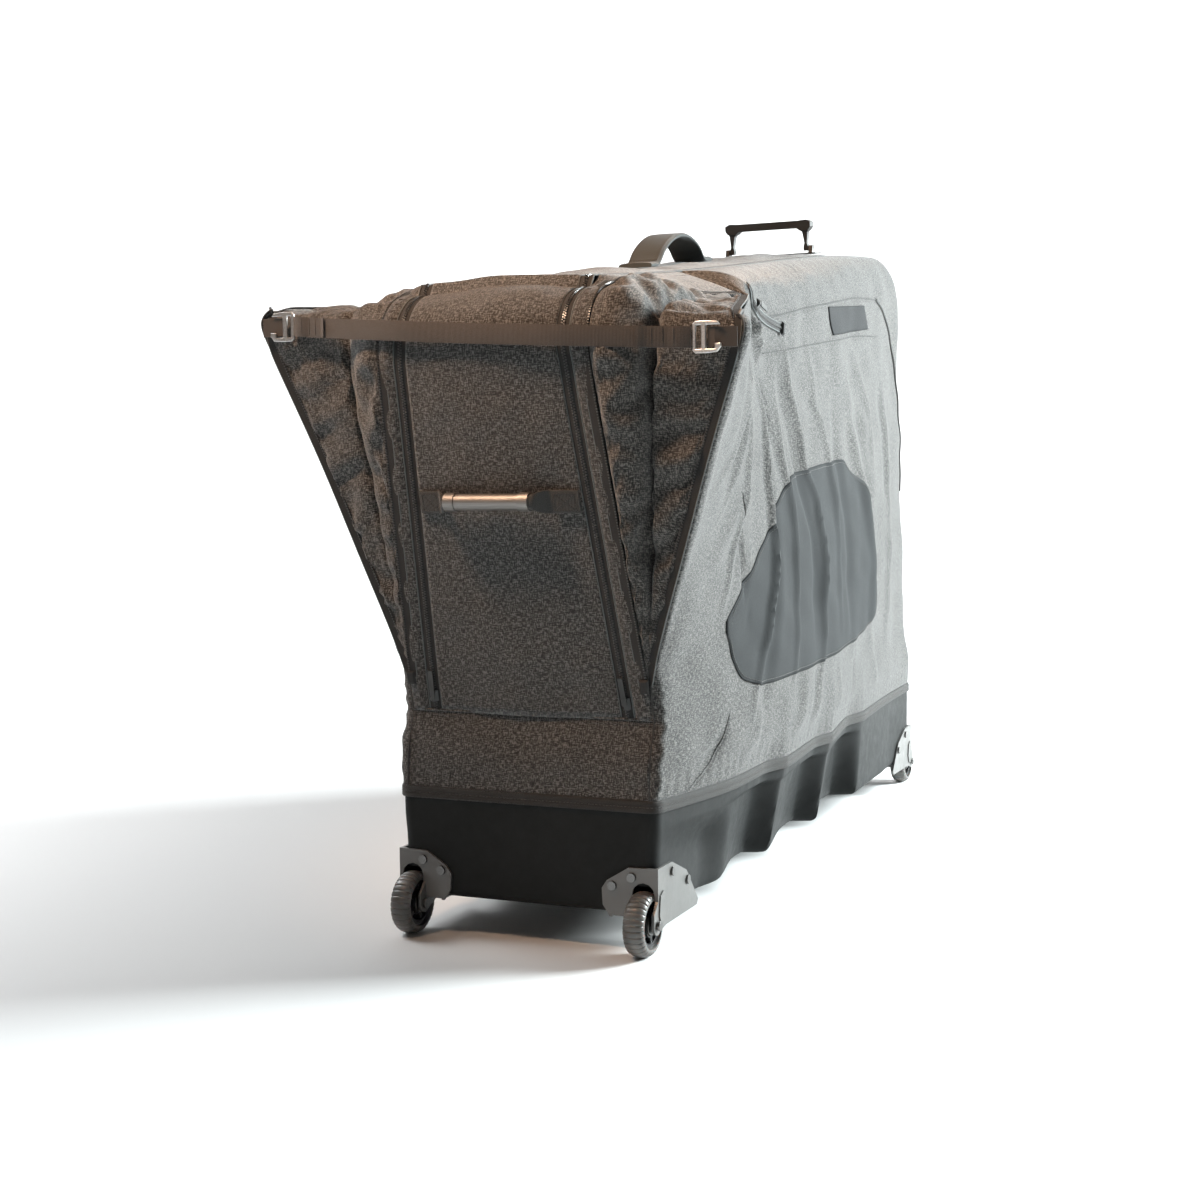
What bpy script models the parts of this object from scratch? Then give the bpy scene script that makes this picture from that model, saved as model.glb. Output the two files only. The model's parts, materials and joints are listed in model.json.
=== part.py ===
"""Bike travel case: a hard tub on four wheels with a tall padded fabric upper.

The handlebar end faces -Y, the case runs along +Y, +Z is up, and the origin is on the
floor under the middle. Places along the case are given as s, the distance from the tub's
near end wall. The right side is +X; each left piece is the mirror of the right one.
Both fabric sides unzip along the roof and fold down over the tub's rim.
"""
import math

import bmesh
import bpy
import numpy as np
from mathutils import Matrix, Vector

# Clearances
GAP = 0.0003
RUN_GAP = 0.001

# Tub and its rim
NEAR_END_Y = -0.532
TUB_LENGTH = 1.130
TUB_WIDTH = 0.306
TUB_FLOOR_Z = 0.043
TUB_RIM_Z = 0.164
TUB_WALL = 0.004
TUB_CORNER_RADIUS = 0.014
TUB_FLOOR_ROUND = 0.009
RIM_BULGE = 0.040
FLOOR_BULGE = 0.020
GROOVE_PLACES = (0.27, 0.50, 0.72)
GROOVE_HALF_WIDTH = 0.055
GROOVE_DEPTH = 0.022
GROOVE_TOP_Z = 0.138
GROOVE_EASE = 0.006
SEAT_LENGTH = 0.125
SEAT_TOP_Z = 0.100
SEAT_EASE = 0.06
BINDING_HEIGHT = 0.011
BINDING_THICKNESS = 0.0025
FLOOR_PAD_THICKNESS = 0.020

# Wheels and corner brackets
WHEEL_RADIUS = 0.035
WHEEL_WIDTH = 0.024
WHEEL_SET_OUT = 0.005
WHEEL_ROOM = 0.0045
RIM_RADIUS = 0.025
RIM_INNER_RADIUS = 0.0205
HUB_RADIUS = 0.0135
CORE_WIDTH = 0.018
SPOKES = 5
SPOKE_WIDTH = 0.005
BEARING_RADIUS = 0.011
AXLE_RADIUS = 0.004
NUT_RADIUS = 0.0065
BRACKET_PLATE = 0.003
BRACKET_HEIGHT = 0.095
BRACKET_DEPTH = 0.118
BRACKET_REACH = 0.062
BRACKET_FLOOR_DEPTH = 0.095
NOSE_RADIUS = 0.0105
SKID_Z = 0.031
BOSS_HEIGHT = 0.0015
BOLT_RADIUS = 0.0025
BOLT_HEAD_RADIUS = 0.0052
BOLT_HEAD_HEIGHT = 0.0022
BOLT_PLATE = 0.0015

# Fabric upper
FABRIC = 0.004
FOLD_Z = 0.250
FOLD_X = 0.200
NEAR_LEAN = math.radians(15.7)
NEAR_SEAM_S = 0.016
FAR_FACE_OVERHANG = -0.004
ROOF_NEAR_Z = 0.711
ROOF_FAR_Z = 0.848
ROOF_START = -0.090
ROOF_END = 1.020
NEAR_FACE_RISE = 0.400
NEAR_TOP_RADIUS = 0.060
FAR_TOP_RADIUS = 0.075
ROOF_CROWN = 0.005
SIDE_WAIST = 0.018
UPPER_WAIST = 0.008
SHOULDER_HEIGHT = 0.066
SHOULDER_HEIGHT_NEAR = 0.030
SHOULDER_EASE = 0.30
SHOULDER_POWER = 2.2
SKIRT_FULLNESS = 0.005
SKIRT_STAND_OFF = 0.001

# Zips
ZIP_WIDTH = 0.014
ZIP_THICKNESS = 0.0016
ZIP_EDGE_GAP = 0.0011
ZIP_TEETH = 0.004
MAIN_ZIP_X_LOW = 0.117
MAIN_ZIP_X_TOP = 0.093
MAIN_ZIP_X_ROOF = 0.103
MAIN_ZIP_X_FAR = 0.106
SLIDER_LENGTH = 0.013
SLIDER_WIDTH = 0.011
SLIDER_HEIGHT = 0.004
PULL_LENGTH = 0.032
PULL_WIDTH = 0.006
GUSSET_TAPE_WIDTH = 0.010
GUSSET_TAPE_THICKNESS = 0.0014
TAPE_LIFT = 0.0012
WING_TAPE_LIFT = 0.0028
TAIL_LIFT = 0.0029
TAIL_START = 0.020
CREST_LENGTH = 0.045
CREST_RISE = 0.026

# Expanding gusset and its wings
GUSSET_FOOT_Z = 0.305
GUSSET_FOOT_RISE = 0.028
GUSSET_ZIP_X_LOW = 0.146
GUSSET_ZIP_X_TOP = 0.120
WING_SPREAD = 0.127
WING_RISE = 0.355
WING_TOP_Z = {1: 0.668, -1: 0.696}
WING_EDGE_S_LOW = 0.004
WING_EDGE_S_TOP = -0.058
WING_LENGTH = 0.400
GUSSET_END_S = 0.194
GUSSET_SEAM = 0.016
WING_END_Z = 0.712
GUSSET_END_X = 0.190
GUSSET_CREASE = 0.016
GUSSET_CLOSE = 0.45
WING_TAKE_UP = 0.0034
GUSSET_ZIP_END = (0.385, 0.690)

# Logo panel outline: s, low z, high z
PANEL_OUTLINE = (
    (0.143, 0.335, 0.346), (0.190, 0.276, 0.385), (0.250, 0.262, 0.424), (0.408, 0.264, 0.508),
    (0.560, 0.268, 0.522), (0.694, 0.274, 0.530), (0.790, 0.282, 0.498), (0.850, 0.298, 0.452),
    (0.887, 0.345, 0.405))
PANEL_THICKNESS = 0.0015
PANEL_LIFT = 0.0022

# Strap across the wings and its hooks
STRAP_WIDTH = 0.021
STRAP_THICKNESS = 0.0016
STRAP_Z = {1: 0.645, -1: 0.675}
STRAP_FRONT_S = -0.1060
STRAP_FLAT_HALF = 0.085
HOOK_X = {1: 0.224, -1: 0.236}
HOOK_S = -0.071
HOOK_HEIGHT = 0.032
HOOK_LENGTH = 0.030
HOOK_THICKNESS = 0.003
HOOK_RAIL = 0.0045
TAB_LENGTH = 0.028
TAB_WIDTH = 0.020
TAB_INSET = 0.007
TAB_BACK = 0.0058

# Handles
END_HANDLE_Z = 0.484
END_HANDLE_X = -0.003
END_HANDLE_LENGTH = 0.098
END_HANDLE_RADIUS = 0.0088
END_HANDLE_BORE = 0.0074
END_HANDLE_COLLAR = 0.012
END_HANDLE_LIP = 0.0012
END_HANDLE_STAND_OFF = 0.009
END_HANDLE_WEB = 0.024
END_HANDLE_ROLL = 0.0115
WEB_THICKNESS = 0.0025
PATCH_LENGTH = {1: 0.027, -1: 0.021}
CARRY_HANDLE_S = (0.362, 0.520)
CARRY_HANDLE_WIDTH = 0.044
CARRY_HANDLE_RISE = 0.034
CARRY_HANDLE_THICKNESS = 0.006
BAR_HANDLE_S = 0.872
BAR_HANDLE_SPAN = 0.124
BAR_HANDLE_RISE = 0.036
BAR_HANDLE_DEPTH = 0.018
BAR_HANDLE_THICKNESS = 0.011
BAR_PIVOT_RISE = 0.0085
BAR_PIN_RADIUS = 0.002
BAR_FOOT_RADIUS = 0.0052
BAR_FOOT_DROP = 0.0032
BAR_LUG_WIDTH = 0.006
BAR_PLATE_SIZE = (0.152, 0.036, 0.002)

for old in list(bpy.data.objects):
    bpy.data.objects.remove(old, do_unlink=True)


def finish(name, colour, roughness, metallic=0.0):
    """A material with one Principled surface."""
    material = bpy.data.materials.new(name)
    material.use_nodes = True
    shader = material.node_tree.nodes["Principled BSDF"]
    shader.inputs["Base Color"].default_value = (*colour, 1.0)
    shader.inputs["Roughness"].default_value = roughness
    shader.inputs["Metallic"].default_value = metallic
    return material


FINISHES = {
    "fabric": ((0.105, 0.100, 0.098), 0.95, 0.0),
    "tub_plastic": ((0.016, 0.018, 0.019), 0.55, 0.0),
    "binding_web": ((0.020, 0.016, 0.013), 0.90, 0.0),
    "bracket_grey": ((0.16, 0.16, 0.16), 0.45, 0.2),
    "steel": ((0.55, 0.55, 0.55), 0.30, 1.0),
    "smoke_urethane": ((0.14, 0.14, 0.14), 0.35, 0.0),
    "core_black": ((0.02, 0.02, 0.02), 0.45, 0.0),
    "foam": ((0.05, 0.05, 0.05), 0.95, 0.0),
    "zip_black": ((0.012, 0.011, 0.010), 0.70, 0.0),
    "panel_grey": ((0.055, 0.060, 0.064), 0.60, 0.0),
    "webbing": ((0.035, 0.028, 0.024), 0.85, 0.0),
    "aluminium": ((0.42, 0.41, 0.41), 0.32, 1.0),
    "chrome": ((0.80, 0.80, 0.80), 0.12, 1.0),
    "handle_rubber": ((0.045, 0.040, 0.038), 0.65, 0.0),
}


def along(s):
    """World Y of a place given from the tub's near end wall."""
    return NEAR_END_Y + s


def smooth(t):
    """Smooth step from 0 to 1."""
    t = np.clip(t, 0.0, 1.0)
    return t * t * (3.0 - 2.0 * t)


def add(name, mesh, look, round_angle=35.0):
    """A named object for one piece, with its own material, shaded smooth below an angle."""
    obj = bpy.data.objects.new(name, mesh)
    bpy.context.collection.objects.link(obj)
    mesh.materials.clear()
    mesh.materials.append(finish(name + "_finish", *FINISHES[look]))
    mesh.shade_smooth()
    mesh.set_sharp_from_angle(angle=math.radians(round_angle))
    return obj


def mesh_of(name, verts, faces):
    """A mesh whose faces all point outwards."""
    mesh = bpy.data.meshes.new(name)
    mesh.from_pydata([tuple(v) for v in verts], [], faces)
    work = bmesh.new()
    work.from_mesh(mesh)
    bmesh.ops.recalc_face_normals(work, faces=work.faces)
    work.to_mesh(mesh)
    work.free()
    return mesh


def loft(name, rings):
    """A closed solid through rings of equally many points, capped at both ends."""
    count = len(rings[0])
    verts = np.concatenate(rings)
    faces = []
    for level in range(len(rings) - 1):
        for i in range(count):
            j = (i + 1) % count
            low = level * count
            faces.append((low + i, low + j, low + count + j, low + count + i))
    last = (len(rings) - 1) * count
    faces.append(tuple(range(count)))
    faces.append(tuple(range(last, last + count)))
    return mesh_of(name, verts, faces)


def hoop(name, rings):
    """A closed solid through rings, the last of which joins the first, such as a band."""
    count = len(rings[0])
    verts = np.concatenate(rings)
    faces = []
    for level in range(len(rings)):
        low = level * count
        high = (level + 1) % len(rings) * count
        for i in range(count):
            j = (i + 1) % count
            faces.append((low + i, low + j, high + j, high + i))
    return mesh_of(name, verts, faces)


def prism(name, outline, axis, start, end):
    """An outline drawn across one axis and run along it from start to end."""
    order = {"x": (2, 0, 1), "y": (0, 2, 1), "z": (0, 1, 2)}[axis]
    rings = []
    for place in (start, end):
        flat = np.array([(a, b, place) for a, b in outline])
        rings.append(flat[:, order])
    return loft(name, rings)


def box(name, low, high):
    """A box between two corners."""
    outline = ((low[0], low[1]), (high[0], low[1]), (high[0], high[1]), (low[0], high[1]))
    return prism(name, outline, "z", low[2], high[2])


def disc(centre, radius, sides, start=0.0):
    """Points of a circle, or of a polygon with few sides."""
    angles = start + np.arange(sides) * 2.0 * math.pi / sides
    return [(centre[0] + radius * math.cos(a), centre[1] + radius * math.sin(a)) for a in angles]


def turned(profile, sides, centre):
    """A ring turned about an axis along X; profile points are (x, radius)."""
    rings = []
    for x, radius in profile:
        points = disc((centre[1], centre[2]), radius, sides)
        rings.append(np.array([(centre[0] + x, y, z) for y, z in points]))
    return rings


def merged(name, parts):
    """One mesh that holds several separate ones, used only as a cutter or a guide."""
    work = bmesh.new()
    for part in parts:
        work.from_mesh(part)
    mesh = bpy.data.meshes.new(name)
    work.to_mesh(mesh)
    work.free()
    return mesh


def shaped(name, base, steps):
    """The base mesh after a list of (operation, mesh) Booleans, made into one plain mesh."""
    obj = bpy.data.objects.new(name + "_work", base)
    bpy.context.collection.objects.link(obj)
    helpers = []
    for operation, mesh in steps:
        helper = bpy.data.objects.new(name + "_tool", mesh)
        bpy.context.collection.objects.link(helper)
        helper.hide_render = True
        helper.display_type = "WIRE"
        helpers.append(helper)
        modifier = obj.modifiers.new(operation.title(), "BOOLEAN")
        modifier.operation = operation
        modifier.solver = "EXACT"
        modifier.object = helper
    graph = bpy.context.evaluated_depsgraph_get()
    mesh = bpy.data.meshes.new_from_object(obj.evaluated_get(graph))
    mesh.name = name
    for helper in helpers:
        bpy.data.objects.remove(helper, do_unlink=True)
    bpy.data.objects.remove(obj, do_unlink=True)
    return mesh


def mirrored(mesh, name, side, end):
    """The near right corner's mesh, copied to another corner of the tub."""
    copy = mesh.copy()
    copy.name = name
    middle = NEAR_END_Y + TUB_LENGTH / 2.0
    turn = Matrix.Translation((0.0, middle, 0.0)) @ Matrix.Diagonal((side, end, 1.0, 1.0))
    copy.transform(turn @ Matrix.Translation((0.0, -middle, 0.0)))
    if side * end < 0:
        copy.flip_normals()
    return copy


def sheet(name, grid, look, thickness, side=1, outward=1):
    """A padded sheet: a grid of outer points, thickened inwards by a Solidify modifier."""
    rows, columns = grid.shape[:2]
    verts = grid.reshape(-1, 3).copy()
    verts[:, 0] *= side
    faces = []
    for r in range(rows - 1):
        for c in range(columns - 1):
            a = r * columns + c
            quad = (a, a + 1, a + columns + 1, a + columns)
            faces.append(quad if side * outward > 0 else quad[::-1])
    mesh = bpy.data.meshes.new(name)
    mesh.from_pydata([tuple(v) for v in verts], [], faces)
    obj = add(name, mesh, look)
    solid = obj.modifiers.new("Padding", "SOLIDIFY")
    solid.thickness = thickness
    solid.offset = -1.0
    solid.use_even_offset = True
    return obj


def swept(name, centres, widths, normals, section):
    """A closed strip: a section of (across, out) points carried along a line."""
    rings = []
    for centre, width, normal in zip(centres, widths, normals):
        ring = [centre + width * a + normal * b for a, b in section]
        rings.append(np.array(ring))
    return loft(name, rings)


def unit(v):
    """Vectors made one long."""
    v = np.asarray(v, float)
    return v / np.linalg.norm(v, axis=-1, keepdims=True)


def hump(s):
    """How far the side bellies out along the case, 0 at the ends and 1 a third of the way."""
    u = np.clip(s / TUB_LENGTH, 0.0, 1.0)
    return np.sin(math.pi * u ** 0.643) ** 1.6


def groove(s):
    """Depth of the upright hand-width grooves along the tub's side, from 0 to 1."""
    depth = np.zeros_like(s)
    for place in GROOVE_PLACES:
        reach = np.clip(np.abs(s - place) / GROOVE_HALF_WIDTH, 0.0, 1.0)
        depth += np.clip(0.8 * (1.0 + np.cos(math.pi * reach)), 0.0, 1.0)
    return depth


def tub_half_width(s, z, grooved):
    """Half width of the tub's wall: it bellies out, with flat seats for the brackets."""
    rise = np.clip((z - TUB_FLOOR_Z) / (TUB_RIM_Z - TUB_FLOOR_Z), 0.0, 1.0)
    belly = (FLOOR_BULGE + (RIM_BULGE - FLOOR_BULGE) * rise) * hump(s)
    seat = 1.0 - smooth((z - SEAT_TOP_Z) / (GROOVE_TOP_Z - SEAT_TOP_Z))
    ends = smooth((s - SEAT_LENGTH) / SEAT_EASE) * smooth((TUB_LENGTH - SEAT_LENGTH - s) / SEAT_EASE)
    belly = belly * (1.0 - seat * (1.0 - ends))
    return TUB_WIDTH / 2.0 + belly - (GROOVE_DEPTH * groove(s) if grooved else 0.0)


def tub_ring(z, inset, grooved, steps=30):
    """The tub's outline at one height, drawn in by an inset."""
    corner = TUB_CORNER_RADIUS
    side_s = np.linspace(corner, TUB_LENGTH - corner, steps + 1)
    side_x = tub_half_width(side_s, z, grooved) - inset
    side = np.stack([side_x, side_s], axis=1)
    turn = np.linspace(0.0, math.pi / 2.0, 4)[1:]
    half = TUB_WIDTH / 2.0 - inset
    arc = corner - inset
    far = np.stack([half - arc + arc * np.cos(turn),
                    TUB_LENGTH - inset - arc + arc * np.sin(turn)], axis=1)
    near = np.stack([far[:, 0], TUB_LENGTH - far[:, 1]], axis=1)[::-1]
    right = np.concatenate([near, side, far])
    left = right[::-1] * (-1.0, 1.0)
    outline = np.concatenate([right, left])
    return np.array([(x, along(s), z) for x, s in outline])


def corner_pair(make):
    """One mesh for all four corners, from a function of side and end."""
    return merged("corners", [make(side, end) for side in (1, -1) for end in (1, -1)])


WHEEL_X = TUB_WIDTH / 2.0 - 1.5 * RUN_GAP - WHEEL_WIDTH / 2.0
WHEEL_S = -WHEEL_SET_OUT
SLOT_X = WHEEL_X - WHEEL_WIDTH / 2.0 - RUN_GAP
SLOT_OUTER_X = WHEEL_X + WHEEL_WIDTH / 2.0 + 0.7 * RUN_GAP
WELL_X = SLOT_X - BRACKET_PLATE - RUN_GAP
WELL_DEPTH = WHEEL_S + WHEEL_RADIUS + WHEEL_ROOM
WELL_TOP_Z = 2.0 * WHEEL_RADIUS + WHEEL_ROOM
OUTER_X = TUB_WIDTH / 2.0 + GAP + BRACKET_PLATE
BOLTS_NEAR = ((TUB_WIDTH / 2.0 - 0.027, 0.084), (TUB_WIDTH / 2.0 - 0.0495, 0.0735))
BOLTS_SIDE = ((0.038, 0.085), (0.084, 0.066))


def make_tub():
    """Moulded tub: a shell with grooved sides and a well in each corner for its wheel."""
    levels = (
        (TUB_FLOOR_Z, 0.78 * TUB_FLOOR_ROUND, True),
        (TUB_FLOOR_Z + 0.28 * TUB_FLOOR_ROUND, 0.22 * TUB_FLOOR_ROUND, True),
        (TUB_FLOOR_Z + TUB_FLOOR_ROUND, 0.0, True), (SEAT_TOP_Z, 0.0, True),
        (GROOVE_TOP_Z - GROOVE_EASE, 0.0, True), (GROOVE_TOP_Z, 0.0, False), (TUB_RIM_Z, 0.0, False))
    outer = [tub_ring(z, inset, grooved) for z, inset, grooved in levels]
    inner = [tub_ring(z, TUB_WALL, grooved) for z, inset, grooved in levels[:1:-1]]
    inner.append(tub_ring(TUB_FLOOR_Z + TUB_WALL, 2.0 * TUB_WALL, True))
    shell = loft("tub", outer + inner)

    def block(grow, past):
        low = (WELL_X - grow, along(-past), TUB_FLOOR_Z + 0.001 - past)
        high = (TUB_WIDTH / 2.0 - 0.001 + past, along(WELL_DEPTH + grow), WELL_TOP_Z + grow)
        near = box("well", low, high)
        return corner_pair(lambda side, end: mirrored(near, "well", side, end))

    holes = []
    for x, z in BOLTS_NEAR:
        hole = disc((x, z), BOLT_RADIUS + GAP, 8)
        holes.append(prism("hole", hole, "y", along(-0.02), along(0.012)))
    for s, z in BOLTS_SIDE:
        hole = disc((along(s), z), BOLT_RADIUS + GAP, 8)
        holes.append(prism("hole", hole, "x", TUB_WIDTH / 2.0 - 0.012, TUB_WIDTH / 2.0 + 0.02))
    drill = merged("drill", holes)
    drills = corner_pair(lambda side, end: mirrored(drill, "drill", side, end))
    solid = shaped("tub", shell, [("UNION", block(TUB_WALL, -0.0005)),
                                  ("DIFFERENCE", block(0.0, 0.03)), ("DIFFERENCE", drills)])
    add("tub", solid, "tub_plastic")


def make_rim_binding():
    """Woven binding sewn round the outside of the tub's rim."""
    low = TUB_RIM_Z - BINDING_HEIGHT
    inner = [tub_ring(z, -GAP, False) for z in (low, TUB_RIM_Z)]
    outer = [tub_ring(z, -GAP - BINDING_THICKNESS, False) for z in (TUB_RIM_Z, low)]
    add("rim_binding", hoop("rim_binding", inner + outer), "binding_web")


def make_floor_pad():
    """Foam pad that fills the tub's floor between the wheel wells."""
    half = WELL_X - TUB_WALL - GAP
    inset = TUB_WALL + TUB_FLOOR_ROUND - 0.003
    bottom = TUB_FLOOR_Z + TUB_WALL + GAP
    low = (-half, along(inset), bottom)
    high = (half, along(TUB_LENGTH - inset), bottom + FLOOR_PAD_THICKNESS)
    add("floor_pad", box("floor_pad", low, high), "foam")


def bracket_mesh():
    """Corner bracket: end plate, side plate with the skid edge, floor plate and two arms."""
    half = TUB_WIDTH / 2.0
    inner_x = half + GAP
    foot_x = inner_x - BRACKET_REACH
    top = BRACKET_HEIGHT
    plate_y = (along(-GAP - BRACKET_PLATE), along(-GAP))
    end_outline = (
        (OUTER_X - 0.001, top), (half - 0.031, top - 0.001), (foot_x + 0.006, top - 0.016),
        (foot_x, top - 0.025), (foot_x + 0.001, 0.052), (foot_x + 0.009, 0.0398),
        (OUTER_X - 0.001, 0.0398))
    end_plate = prism("end_plate", end_outline, "y", *plate_y)
    axle = (along(WHEEL_S), WHEEL_RADIUS)
    nose = [(axle[0] + NOSE_RADIUS * math.cos(a), axle[1] + NOSE_RADIUS * math.sin(a))
            for a in np.linspace(math.pi, 1.75 * math.pi, 6)]
    side_outline = [(plate_y[0], top), (plate_y[0], 0.060), (axle[0] - 0.9 * NOSE_RADIUS, 0.048)]
    side_outline += nose
    side_outline += [(along(0.020), SKID_Z), (along(BRACKET_DEPTH - 0.004), SKID_Z),
                     (along(BRACKET_DEPTH), SKID_Z + 0.006), (along(0.087), top - 0.023),
                     (along(0.082), top - 0.018), (along(0.038), top)]
    side_plate = prism("side_plate", side_outline, "x", inner_x, OUTER_X)
    arm_outline = [(along(WELL_DEPTH), 0.0415), (plate_y[0] + 0.001, 0.060),
                   (axle[0] - 0.9 * NOSE_RADIUS, 0.048)] + nose + [(along(0.020), SKID_Z + 0.004)]
    arm = prism("arm", arm_outline, "x", SLOT_X - BRACKET_PLATE, SLOT_X)
    floor_low = (foot_x + 0.012, along(0.003), TUB_FLOOR_Z - GAP - BRACKET_PLATE)
    floor_high = (inner_x + 0.001, along(BRACKET_FLOOR_DEPTH), TUB_FLOOR_Z - GAP)
    floor_plate = box("floor_plate", floor_low, floor_high)
    boss_outline = [(axle[0] + 0.003, 0.045), (axle[0] + 0.006, 0.066), (axle[0] + 0.014, 0.070),
                    (axle[0] + 0.022, 0.066), (axle[0] + 0.026, 0.048), (axle[0] + 0.020, 0.036),
                    (axle[0] + 0.008, 0.034)]
    boss = prism("boss", boss_outline, "x", OUTER_X - 0.001, OUTER_X + BOSS_HEIGHT)
    arch_z = 2.0 * WHEEL_RADIUS - 0.004
    slot = box("slot", (SLOT_X, along(-0.05), -0.02), (SLOT_OUTER_X, along(WELL_DEPTH), arch_z))
    arch_centre = ((SLOT_X + SLOT_OUTER_X) / 2.0, arch_z)
    arch = prism("arch", disc(arch_centre, (SLOT_OUTER_X - SLOT_X) / 2.0, 12), "y",
                 along(-0.05), along(WELL_DEPTH))
    arm_x = SLOT_X - BRACKET_PLATE
    nut_room = prism("nut_room", disc(axle, NUT_RADIUS + RUN_GAP, 12), "x", arm_x - 0.02, arm_x)
    holes = [prism("hole", disc(axle, AXLE_RADIUS + GAP, 12), "x", arm_x - 0.01, OUTER_X + 0.01)]
    for x, z in BOLTS_NEAR:
        hole = disc((x, z), BOLT_RADIUS + GAP, 8)
        holes.append(prism("hole", hole, "y", along(-0.02), along(0.02)))
    for s, z in BOLTS_SIDE:
        hole = disc((along(s), z), BOLT_RADIUS + GAP, 8)
        holes.append(prism("hole", hole, "x", half - 0.013, half + 0.027))
    return shaped("bracket", end_plate, [
        ("UNION", side_plate), ("UNION", floor_plate), ("DIFFERENCE", slot), ("DIFFERENCE", arch),
        ("UNION", arm), ("UNION", boss), ("DIFFERENCE", nut_room),
        ("DIFFERENCE", merged("drill", holes))])


def bolt_plate_mesh():
    """Angle plate inside the tub's corner, with the four bracket bolts fixed in it."""
    half = TUB_WIDTH / 2.0
    inner = TUB_WALL + GAP
    plate = BOLT_PLATE
    low_z = BOLTS_SIDE[1][1] - 0.008
    top = BRACKET_HEIGHT - 0.002
    bend = half - inner
    # On the end wall the plate goes above the wheel well and down beside it.
    above = WELL_TOP_Z + TUB_WALL + GAP
    beside = WELL_X - TUB_WALL - GAP
    foot = BOLTS_NEAR[1][0] - 0.0085
    reach = BOLTS_SIDE[1][0] + 0.008
    end_outline = ((foot, low_z + 0.006), (beside, low_z + 0.006), (beside, above),
                   (bend - 0.012, above), (bend - 0.012, top), (foot, top))
    end_leg = prism("leg", end_outline, "y", along(inner), along(inner + plate))
    side_leg = box("leg", (bend - plate, along(0.0145), above), (bend, along(reach), top))
    drop_leg = box("leg", (bend - plate, along(WELL_DEPTH + TUB_WALL + 0.002), low_z),
                   (bend, along(reach), top))
    corner = prism("corner", ((bend - 0.0135, along(inner)), (bend - 0.0135, along(inner + plate)),
                              (bend - plate, along(0.0155)), (bend, along(0.0155)),
                              (bend, along(0.0140)), (bend - 0.010, along(inner))), "z", above, top)
    steps = [("UNION", side_leg), ("UNION", drop_leg), ("UNION", corner)]
    face = -GAP - BRACKET_PLATE - GAP
    for x, z in BOLTS_NEAR:
        shank = disc((x, z), BOLT_RADIUS, 8)
        head = disc((x, z), BOLT_HEAD_RADIUS, 10)
        steps.append(("UNION", prism("shank", shank, "y", along(face - 0.001), along(inner + 0.001))))
        steps.append(("UNION", prism("head", head, "y", along(face - BOLT_HEAD_HEIGHT), along(face))))
    outer = OUTER_X + GAP
    for s, z in BOLTS_SIDE:
        shank = disc((along(s), z), BOLT_RADIUS, 8)
        head = disc((along(s), z), BOLT_HEAD_RADIUS, 10)
        steps.append(("UNION", prism("shank", shank, "x", bend - 0.001, outer + 0.001)))
        steps.append(("UNION", prism("head", head, "x", outer, outer + BOLT_HEAD_HEIGHT)))
    return shaped("bolt_plate", end_leg, steps)


def wheel_meshes():
    """Tyre, spoked core, bearing and axle bolt of the near right wheel."""
    centre = (WHEEL_X, along(WHEEL_S), WHEEL_RADIUS)
    half = WHEEL_WIDTH / 2.0
    shoulder_radius = RIM_RADIUS + 0.001
    tyre_profile = [(-half * 0.62, RIM_RADIUS + GAP)]
    for a in np.linspace(-0.5, 0.5, 5) * math.pi:
        tyre_profile.append((half * math.sin(a), shoulder_radius
                             + (WHEEL_RADIUS - shoulder_radius) * math.cos(a) ** 0.7))
    tyre_profile.append((half * 0.62, RIM_RADIUS + GAP))
    tyre = hoop("tyre", turned(tyre_profile, 24, centre))
    wide = CORE_WIDTH / 2.0
    rim = hoop("rim", turned(((-wide, RIM_INNER_RADIUS), (-wide, RIM_RADIUS),
                                     (wide, RIM_RADIUS), (wide, RIM_INNER_RADIUS)), 22, centre))
    hub = hoop("hub", turned(((-wide, BEARING_RADIUS + 2.0 * GAP), (-wide, HUB_RADIUS),
                                     (wide, HUB_RADIUS), (wide, BEARING_RADIUS + 2.0 * GAP)), 16, centre))
    steps = []
    for k in range(SPOKES):
        angle = 2.0 * math.pi * k / SPOKES
        spoke = box("spoke", (-wide * 0.8, HUB_RADIUS - 0.0008, -SPOKE_WIDTH / 2.0),
                    (wide * 0.8, RIM_INNER_RADIUS + 0.001, SPOKE_WIDTH / 2.0))
        spoke.transform(Matrix.Translation(centre) @ Matrix.Rotation(angle, 4, "X"))
        steps.append(("UNION", spoke))
    core = shaped("core", rim, steps + [("UNION", hub)])
    bore = AXLE_RADIUS + GAP
    bearing_half = WHEEL_WIDTH / 2.0 - 0.001
    bearing = hoop("bearing", turned((
        (-bearing_half, bore), (-bearing_half, BEARING_RADIUS - 0.002), (-bearing_half + 0.0008, BEARING_RADIUS),
        (bearing_half - 0.0008, BEARING_RADIUS), (bearing_half, BEARING_RADIUS - 0.002),
        (bearing_half, bore)), 16, centre))
    inner_face = SLOT_X - BRACKET_PLATE - GAP - WHEEL_X
    outer_face = OUTER_X + BOSS_HEIGHT + GAP - WHEEL_X
    axle = loft("axle", turned((
        (inner_face - 0.003, NUT_RADIUS), (inner_face, NUT_RADIUS), (inner_face, AXLE_RADIUS),
        (outer_face, AXLE_RADIUS), (outer_face, 0.0058), (outer_face + 0.002, 0.0052)), 12, centre))
    return {"wheel_tyre": (tyre, "smoke_urethane"), "wheel_core": (core, "core_black"),
            "wheel_bearing": (bearing, "steel"), "axle_bolt": (axle, "steel")}


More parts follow.
